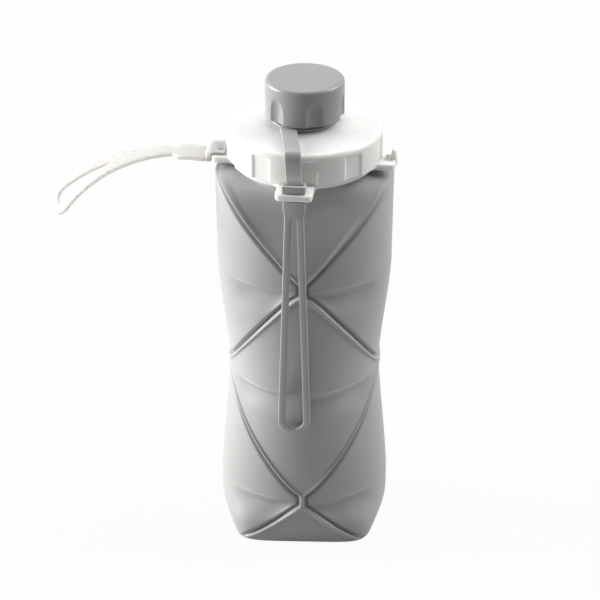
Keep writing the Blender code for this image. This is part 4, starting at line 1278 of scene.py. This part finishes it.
# Where the tether's stations lie along its way over the lid's top
TETHER_SHARES = (0.0, 0.25, 0.5, 0.75, 0.97)
# Edge of the side head's hook, thickness and edge of the disc that draws its moulding hole
HOOK_EDGE = 0.0003
HOLE_THICKNESS = 0.0004
HOLE_EDGE = 0.0001


def tether_stations(mouth, straps):
    """Centre and width direction along the tether, from its ring over the lid into the front head."""
    rise = SEAT_GAP + straps.tether_thickness / 2
    ring_middle = mouth.spout_radius + SEAT_GAP + straps.tether_ring_wall / 2
    start = around(straps.tether_azimuth, ring_middle, 0.0)
    end = around(mouth.ear_turn, slot_radius(mouth, mouth.front_ear_reach), 0.0)
    along = (end - start).normalized()
    start += along * straps.tether_ring_wall / 2
    shoulder = LID_RADIUS - mouth.lid_edge
    flat_length = (end - start).length * (shoulder - start.length) / (end.length - start.length)
    points = []
    for share in TETHER_SHARES:
        point = start + along * flat_length * share
        arch = straps.tether_arch * math.sin(math.pi * share)
        points.append((point, lid_top(mouth, point.length) + rise + arch))
    rim = LID_RADIUS + SEAT_GAP + straps.tether_thickness / 2
    head_top = LID_BOTTOM + straps.head_height
    side_top = mouth.lid_shoulder - mouth.lid_edge
    # Over the rim, down along the lid's wall and into the pocket, as (distance from the axis, height)
    down = (
        (rim - 0.0014, mouth.lid_shoulder + rise - 0.0001),
        (rim - 0.0002, mouth.lid_shoulder - 0.0004),
        (rim + 0.0007, side_top - 0.0010),
        (rim + 0.0026, side_top - 0.0048),
        (end.length, head_top + SEAT_GAP),
        (end.length, head_top - straps.pocket_depth + SEAT_GAP),
    )
    for radius, height in down:
        share = (radius - start.length) / (end.length - start.length)
        points.append((start + (end - start) * share, height))
    across_start = -along.cross(Vector((0, 0, 1)))
    across_end = around(mouth.ear_turn + math.pi / 2, 1.0, 0.0)
    stations = []
    for index, (point, height) in enumerate(points):
        across = across_start.lerp(across_end, index / (len(points) - 1))
        stations.append((Vector((point.x, point.y, height)), across.normalized()))
    return smoothed(stations)


def tether_mesh(mouth, straps):
    """The ring round the spout's foot and the flat strap that grows from it."""
    foot = mouth.lid_crown + SEAT_GAP
    inner = mouth.spout_radius + SEAT_GAP
    outer = inner + straps.tether_ring_wall
    ring = washer_mesh("tether_ring", inner, outer, foot, foot + straps.tether_ring_height, edge=0.0004)
    stations = tether_stations(mouth, straps)
    strap = ribbon("tether_strap", stations, straps.tether_width, straps.tether_thickness, straps.edge)
    still = Matrix.Identity(4)
    return merged("cap_tether_strap", [(ring, still), (strap, still)])


def tongue(name, straps, azimuth, radius, low):
    """A straight tongue from inside a head down through its ear's slot, with the place where it goes."""
    high = LID_BOTTOM + straps.side_plate / 2
    section = rounded_rectangle(straps.tongue_width, straps.thickness, straps.edge)
    mesh = plate(name, [section], high - low, straps.edge / 2)
    return mesh, Matrix.Translation(around(azimuth, radius, (low + high) / 2)) @ facing(azimuth)


def front_head_mesh(mouth, straps):
    """The socket on the front ear, open at its top for the tether, and its tongue through the slot."""
    radius = slot_radius(mouth, mouth.front_ear_reach)
    outer = rounded_rectangle(straps.head_width, straps.head_depth, straps.edge)
    gaps = 2 * SEAT_GAP
    pocket = rounded_rectangle(straps.tether_width + gaps, straps.tether_thickness + gaps, straps.edge / 2)
    floor = straps.head_height - straps.pocket_depth
    edge = straps.edge / 2
    wall = plate("head_wall", [outer, pocket], straps.pocket_depth + edge, edge)
    base = plate("head_base", [outer], floor, edge)
    middle = around(mouth.ear_turn, radius, 0.0)
    wall_height = LID_BOTTOM + straps.head_height - (straps.pocket_depth + edge) / 2
    wall_place = Matrix.Translation(middle + Vector((0, 0, wall_height))) @ facing(mouth.ear_turn)
    base_place = Matrix.Translation(middle + Vector((0, 0, LID_BOTTOM + floor / 2))) @ facing(mouth.ear_turn)
    low = COLLAR_BOTTOM - straps.tongue_drop
    parts = [(wall, wall_place), (base, base_place), tongue("tongue", straps, mouth.ear_turn, radius, low)]
    return merged("front_strap_head", parts)


def upright_at(azimuth):
    """Stands a plate up, so that its X runs outwards at this azimuth and its Y runs up."""
    return Matrix.Rotation(azimuth - math.pi / 2, 4, "Z") @ Matrix.Rotation(math.pi / 2, 4, "X")


def side_head_mesh(mouth, straps):
    """The head on the left ear: a plate, a lip over the ear's edge, a tongue and a moulding hole."""
    left_ear = mouth.ear_turn - math.pi / 2
    back = LID_RADIUS + straps.side_head_gap
    front = straps.side_head_front
    inside = front - straps.side_lip
    foot = COLLAR_BOTTOM - straps.side_lip_drop
    seat = SIDE_HEAD_TOP - straps.side_plate
    # Each corner's distance, height and rounding
    corners = [(back, seat, 0.0005), (inside, seat, 0.0), (inside, foot, 0.0006)]
    corners += [(front, foot, 0.0010), (front, SIDE_HEAD_TOP, 0.0012), (back, SIDE_HEAD_TOP, 0.0006)]
    hook = plate("side_hook", [rounded(corners)], straps.side_head_width, HOOK_EDGE)
    rim = arc(straps.side_hole_radius, 0.0, 2 * math.pi, RIM_STEPS)[:-1]
    hole = plate("moulding_hole", [rim], HOLE_THICKNESS, HOLE_EDGE)
    radius = slot_radius(mouth, mouth.ear_reach)
    hole_place = around(left_ear, radius, SIDE_HEAD_TOP)
    hole_place += facing(left_ear) @ Vector((straps.side_hole_shift, 0.0, 0.0))
    parts = [(hook, upright_at(left_ear)), (hole, Matrix.Translation(hole_place))]
    parts.append(tongue("side_tongue", straps, left_ear, radius, COLLAR_BOTTOM))
    return merged("side_strap_head", parts)


def loop_outlines(loop, straps):
    """Outer outline and opening of a loop that runs along +Y from its hinge axis at y = 0."""
    end_radius = loop.end_width / 2
    straight = loop.length - end_radius
    half_root = loop.root_width / 2
    top = -straps.thickness / 2
    right = [(half_root - ROOT_CORNER, top), (half_root, top + ROOT_CORNER)]
    right += [(half_root, loop.root), (loop.neck_width / 2, loop.neck), (end_radius, straight)]
    edge = dense(right, LOOP_STEP, closed=False)
    outer = edge + arc(end_radius, 0.0, math.pi, LOOP_END_STEPS, (0.0, straight))[1:-1]
    outer += [(-x, y) for x, y in reversed(edge)]
    slit_top = arc(loop.slit_width / 2, -math.pi, 0.0, SLIT_START_STEPS, (0.0, loop.slit_start))
    slit_end = arc(end_radius - loop.strand, 0.0, math.pi, LOOP_END_STEPS, (0.0, straight))
    return [outer, dense(slit_top + slit_end, LOOP_STEP)]


def bent_strap(name, straps, outlines, bend, place):
    """A loop cut from a flat plate and bent to a path.

    The bend gives (out, down, slope, twist) at a distance along the strap.
    """
    shape = bmesh.new()
    flat = plate(name, outlines, straps.thickness, straps.edge)
    shape.from_mesh(flat)
    bpy.data.meshes.remove(flat)
    reach = max(vert.co.y for vert in shape.verts)
    for index in range(1, int(reach / LOOP_STEP)):
        cut = shape.verts[:] + shape.edges[:] + shape.faces[:]
        row = (0, index * LOOP_STEP, 0)
        bmesh.ops.bisect_plane(shape, geom=cut, plane_co=row, plane_no=(0, 1, 0), dist=WELD)
    for vert in shape.verts:
        across, distance, lift = vert.co
        out, down, slope, twist = bend(distance)
        side = -across * math.cos(twist) - lift * math.sin(twist)
        rise = -across * math.sin(twist) + lift * math.cos(twist)
        vert.co = place @ Vector((side, -out - rise * math.sin(slope), rise * math.cos(slope) - down))
    return finished(shape, name, sharp_degrees=30.0)


def carry_loop_mesh(mouth, straps, loop):
    """The grey loop that hangs straight down from the front ear."""

    def hanging(distance):
        return 0.0, distance, math.pi / 2, 0.0

    place = Matrix.Translation(HINGES["carry_loop_swing"]) @ facing(mouth.ear_turn)
    return bent_strap("front_carry_loop", straps, loop_outlines(loop, straps), hanging, place)


def side_loop_mesh(mouth, straps, loop):
    """The pale loop that leaves the left ear nearly level, droops and turns its front edge down."""
    first = loop.start_slope
    rate = (loop.end_slope - first) / loop.length

    def drooping(distance):
        slope = first + rate * distance
        out = (math.sin(slope) - math.sin(first)) / rate
        down = (math.cos(first) - math.cos(slope)) / rate
        return out, down, slope, loop.twist * distance / loop.length

    place = Matrix.Translation(HINGES["side_loop_swing"]) @ facing(mouth.ear_turn - math.pi / 2)
    return bent_strap("side_loop_strap", straps, loop_outlines(loop, straps), drooping, place)


# Studio

# Each soft lamp's name, the setting that holds its power, its place and its width
LAMPS = (
    ("left_lamp", "left_power", (-1.15, 0.10, 0.36), 0.8),
    ("right_lamp", "right_power", (1.00, 0.26, 0.95), 0.8),
    ("top_lamp", "top_power", (0.0, 0.40, 1.25), 0.9),
)
# The lamps point at the middle of the bottle
LAMP_TARGET = Vector((0.0, 0.0, 0.11))
FLOOR_HALF_WIDTH = 4.0
FLOOR_COLOUR = "#BABABA"
# How much of the floor is plain white where it is seen, so that the rest keeps the bottle's shadow
FLOOR_WHITE_SHARE = 0.95
WHITE = (1.0, 1.0, 1.0, 1.0)
SENSOR_WIDTH_MM = 36.0


def seen_directly(tree):
    """A socket that is 1 for what the camera sees, directly, in a reflection or through glass."""
    path = add_node(tree, "ShaderNodeLightPath")
    found = path.outputs["Is Camera Ray"]
    for name in ("Is Glossy Ray", "Is Transmission Ray"):
        either = {0: found, 1: path.outputs[name]}
        found = add_node(tree, "ShaderNodeMath", either, operation="MAXIMUM").outputs[0]
    return found


def add_floor():
    """A white paper floor. It looks white to the camera and still takes a soft shadow."""
    mesh = bpy.data.meshes.new("paper_floor")
    corners = [(across, along, 0) for across, along in ((-1, -1), (1, -1), (1, 1), (-1, 1))]
    mesh.from_pydata([Vector(corner) * FLOOR_HALF_WIDTH for corner in corners], [], [(0, 1, 2, 3)])
    material = bpy.data.materials.new("paper_matte_white")
    material.use_nodes = True
    tree = material.node_tree
    tree.nodes.clear()
    paper = add_node(tree, "ShaderNodeBsdfDiffuse", {"Color": (*linear(FLOOR_COLOUR), 1.0)})
    glow = add_node(tree, "ShaderNodeEmission", {"Color": WHITE, "Strength": 1.0})
    seen = {0: seen_directly(tree), 1: FLOOR_WHITE_SHARE}
    share = add_node(tree, "ShaderNodeMath", seen, operation="MULTIPLY")
    layers = {0: share.outputs[0], 1: paper.outputs[0], 2: glow.outputs[0]}
    mixed = add_node(tree, "ShaderNodeMixShader", layers)
    add_node(tree, "ShaderNodeOutputMaterial", {"Surface": mixed.outputs[0]})
    mesh.materials.append(material)
    floor = bpy.data.objects.new("paper_floor", mesh)
    bpy.context.scene.collection.objects.link(floor)


def add_surround(scene, studio):
    """A white room: plain white where it is seen, and dimmer as a light on the bottle."""
    world = bpy.data.worlds.new("white_room")
    world.use_nodes = True
    tree = world.node_tree
    tree.nodes.clear()
    fill = add_node(tree, "ShaderNodeBackground", {"Color": WHITE, "Strength": studio.fill})
    white = add_node(tree, "ShaderNodeBackground", {"Color": WHITE, "Strength": 1.0})
    layers = {0: seen_directly(tree), 1: fill.outputs[0], 2: white.outputs[0]}
    mixed = add_node(tree, "ShaderNodeMixShader", layers)
    add_node(tree, "ShaderNodeOutputWorld", {"Surface": mixed.outputs[0]})
    scene.world = world


def add_lamp(name, power, place, width):
    """A square soft lamp that points at the middle of the bottle."""
    light = bpy.data.lights.new(name, "AREA")
    light.shape = "SQUARE"
    light.size = width
    light.energy = power
    lamp = bpy.data.objects.new(name, light)
    lamp.location = place
    lamp.rotation_mode = "QUATERNION"
    lamp.rotation_quaternion = (LAMP_TARGET - lamp.location).to_track_quat("-Z", "Y")
    bpy.context.scene.collection.objects.link(lamp)


def add_camera(scene, studio):
    """The camera at the photograph's place, looking down at the bottle."""
    data = bpy.data.cameras.new("camera")
    data.lens = studio.focal_length
    data.sensor_width = SENSOR_WIDTH_MM
    data.clip_start = 0.01
    data.clip_end = 50.0
    camera = bpy.data.objects.new("camera", data)
    across = Vector((math.cos(studio.camera_azimuth), math.sin(studio.camera_azimuth), 0.0))
    place = around(studio.camera_azimuth, studio.camera_distance, studio.camera_height)
    camera.location = place - across * studio.camera_shift
    ahead = -around(studio.camera_azimuth, math.cos(studio.camera_pitch), math.sin(studio.camera_pitch))
    camera.rotation_mode = "QUATERNION"
    camera.rotation_quaternion = ahead.to_track_quat("-Z", "Y")
    scene.collection.objects.link(camera)
    scene.camera = camera


# Operators


class BOTTLE_OT_fold_body(bpy.types.Operator):
    """Add the silicone body with its creases."""

    bl_idname = "bottle.fold_body"
    bl_label = "Fold Body"

    def execute(self, context):
        sizes = context.scene.bottle_body
        body = show(fold_body_mesh(sizes), "body", "bottle_body", "grey_silicone")
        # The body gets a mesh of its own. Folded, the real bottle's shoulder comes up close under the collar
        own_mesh(body)
        return {"FINISHED"}


class BOTTLE_OT_neck_and_collar(bpy.types.Operator):
    """Add the threaded neck ring and the eared collar."""

    bl_idname = "bottle.neck_and_collar"
    bl_label = "Neck Ring and Collar"

    def execute(self, context):
        mouth = context.scene.bottle_mouth
        show(neck_ring_mesh(mouth), "neck", "neck_ring", "white_plastic")
        show(collar_mesh(mouth), "collar", "collar_ring", "white_plastic")
        return {"FINISHED"}


class BOTTLE_OT_lid(bpy.types.Operator):
    """Add the screw lid with its spout."""

    bl_idname = "bottle.lid"
    bl_label = "Lid"

    def execute(self, context):
        mesh = lid_mesh(context.scene.bottle_mouth)
        show(mesh, "lid", "lid", "white_plastic")
        return {"FINISHED"}


class BOTTLE_OT_cap(bpy.types.Operator):
    """Add the screw cap."""

    bl_idname = "bottle.cap"
    bl_label = "Cap"

    def execute(self, context):
        mesh = cap_mesh(context.scene.bottle_mouth)
        show(mesh, "cap", "cap", "grey_plastic")
        return {"FINISHED"}


class BOTTLE_OT_seals(bpy.types.Operator):
    """Add the seals of the lid and the cap."""

    bl_idname = "bottle.seals"
    bl_label = "Seals"

    def execute(self, context):
        mouth = context.scene.bottle_mouth
        inner = THREAD_RADIUS - mouth.thread_wall
        gasket = washer_mesh("lid_seal_ring", inner, THREAD_RADIUS, GASKET_BOTTOM, GASKET_TOP)
        show(gasket, "collar", "lid_gasket", "seal_silicone")
        low, high = (corner.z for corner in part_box("cap_seal"))
        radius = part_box("cap_seal")[1].y
        bevel = 0.0001
        outline = [(0.0, high), (radius - bevel, high), (radius, high - bevel)]
        outline += [(radius, low + bevel), (radius - bevel, low), (0.0, low)]
        disc = turned("cap_seal_disc", outline, WASHER_SEGMENTS)
        show(disc, "cap_carrier", "cap_seal", "seal_silicone")
        return {"FINISHED"}


class BOTTLE_OT_tether(bpy.types.Operator):
    """Add the tether between the spout and the front ear."""

    bl_idname = "bottle.tether"
    bl_label = "Tether"

    def execute(self, context):
        mesh = tether_mesh(context.scene.bottle_mouth, context.scene.bottle_straps)
        show(mesh, "collar", "cap_tether", "grey_silicone")
        return {"FINISHED"}


class BOTTLE_OT_heads(bpy.types.Operator):
    """Add the two heads that sit on the ears."""

    bl_idname = "bottle.heads"
    bl_label = "Strap Heads"

    def execute(self, context):
        mouth = context.scene.bottle_mouth
        straps = context.scene.bottle_straps
        front = front_head_mesh(mouth, straps)
        show(front, "collar", "loop_head", "grey_silicone")
        side = side_head_mesh(mouth, straps)
        show(side, "collar", "side_loop_head", "white_silicone")
        return {"FINISHED"}


class BOTTLE_OT_loops(bpy.types.Operator):
    """Add the hanging carry loop and the side loop."""

    bl_idname = "bottle.loops"
    bl_label = "Loops"

    def execute(self, context):
        mouth = context.scene.bottle_mouth
        straps = context.scene.bottle_straps
        carry = carry_loop_mesh(mouth, straps, context.scene.bottle_carry_loop)
        show(carry, "carry_loop", "carry_loop", "grey_silicone")
        side = side_loop_mesh(mouth, straps, context.scene.bottle_side_loop)
        show(side, "side_loop", "side_loop", "white_silicone")
        return {"FINISHED"}


class BOTTLE_OT_studio(bpy.types.Operator):
    """Add the floor, the lamps, the white surround and the camera."""

    bl_idname = "bottle.studio"
    bl_label = "Studio"

    def execute(self, context):
        studio = context.scene.bottle_studio
        add_floor()
        add_surround(context.scene, studio)
        for name, setting, place, width in LAMPS:
            add_lamp(name, getattr(studio, setting), place, width)
        add_camera(context.scene, studio)
        context.scene.view_settings.view_transform = "Standard"
        return {"FINISHED"}


class BOTTLE_PT_panel(bpy.types.Panel):
    """The bottle's sizes, colours and build steps."""

    bl_idname = "BOTTLE_PT_panel"
    bl_label = "Water Bottle"
    bl_space_type = "VIEW_3D"
    bl_region_type = "UI"
    bl_category = "Bottle"

    def draw(self, context):
        for operator in OPERATORS:
            self.layout.operator(operator.bl_idname)
        for title, settings in SETTINGS.items():
            box = self.layout.box()
            box.label(text=title.replace("_", " ").title())
            for name in settings.__annotations__:
                box.prop(getattr(context.scene, title), name)


SETTINGS = {
    "bottle_body": FoldBodySizes,
    "bottle_mouth": MouthSizes,
    "bottle_straps": StrapSizes,
    "bottle_carry_loop": CarryLoopSizes,
    "bottle_side_loop": SideLoopSizes,
    "bottle_colours": FinishColours,
    "bottle_studio": StudioSettings,
}
OPERATORS = (
    BOTTLE_OT_studio,
    BOTTLE_OT_fold_body,
    BOTTLE_OT_neck_and_collar,
    BOTTLE_OT_lid,
    BOTTLE_OT_cap,
    BOTTLE_OT_seals,
    BOTTLE_OT_tether,
    BOTTLE_OT_heads,
    BOTTLE_OT_loops,
)
CLASSES = (*SETTINGS.values(), *OPERATORS, BOTTLE_PT_panel)


def register():
    """Registers every class, and hangs the settings on the scene."""
    for entry in CLASSES:
        bpy.utils.register_class(entry)
    for name, settings in SETTINGS.items():
        setattr(bpy.types.Scene, name, PointerProperty(type=settings))


def unregister():
    """Takes the settings and the classes away again."""
    for name in SETTINGS:
        delattr(bpy.types.Scene, name)
    for entry in reversed(CLASSES):
        bpy.utils.unregister_class(entry)


def main():
    """Builds the whole scene."""
    register()
    for operator in OPERATORS:
        group, name = operator.bl_idname.split(".")
        getattr(getattr(bpy.ops, group), name)()


if __name__ == "__main__":
    main()
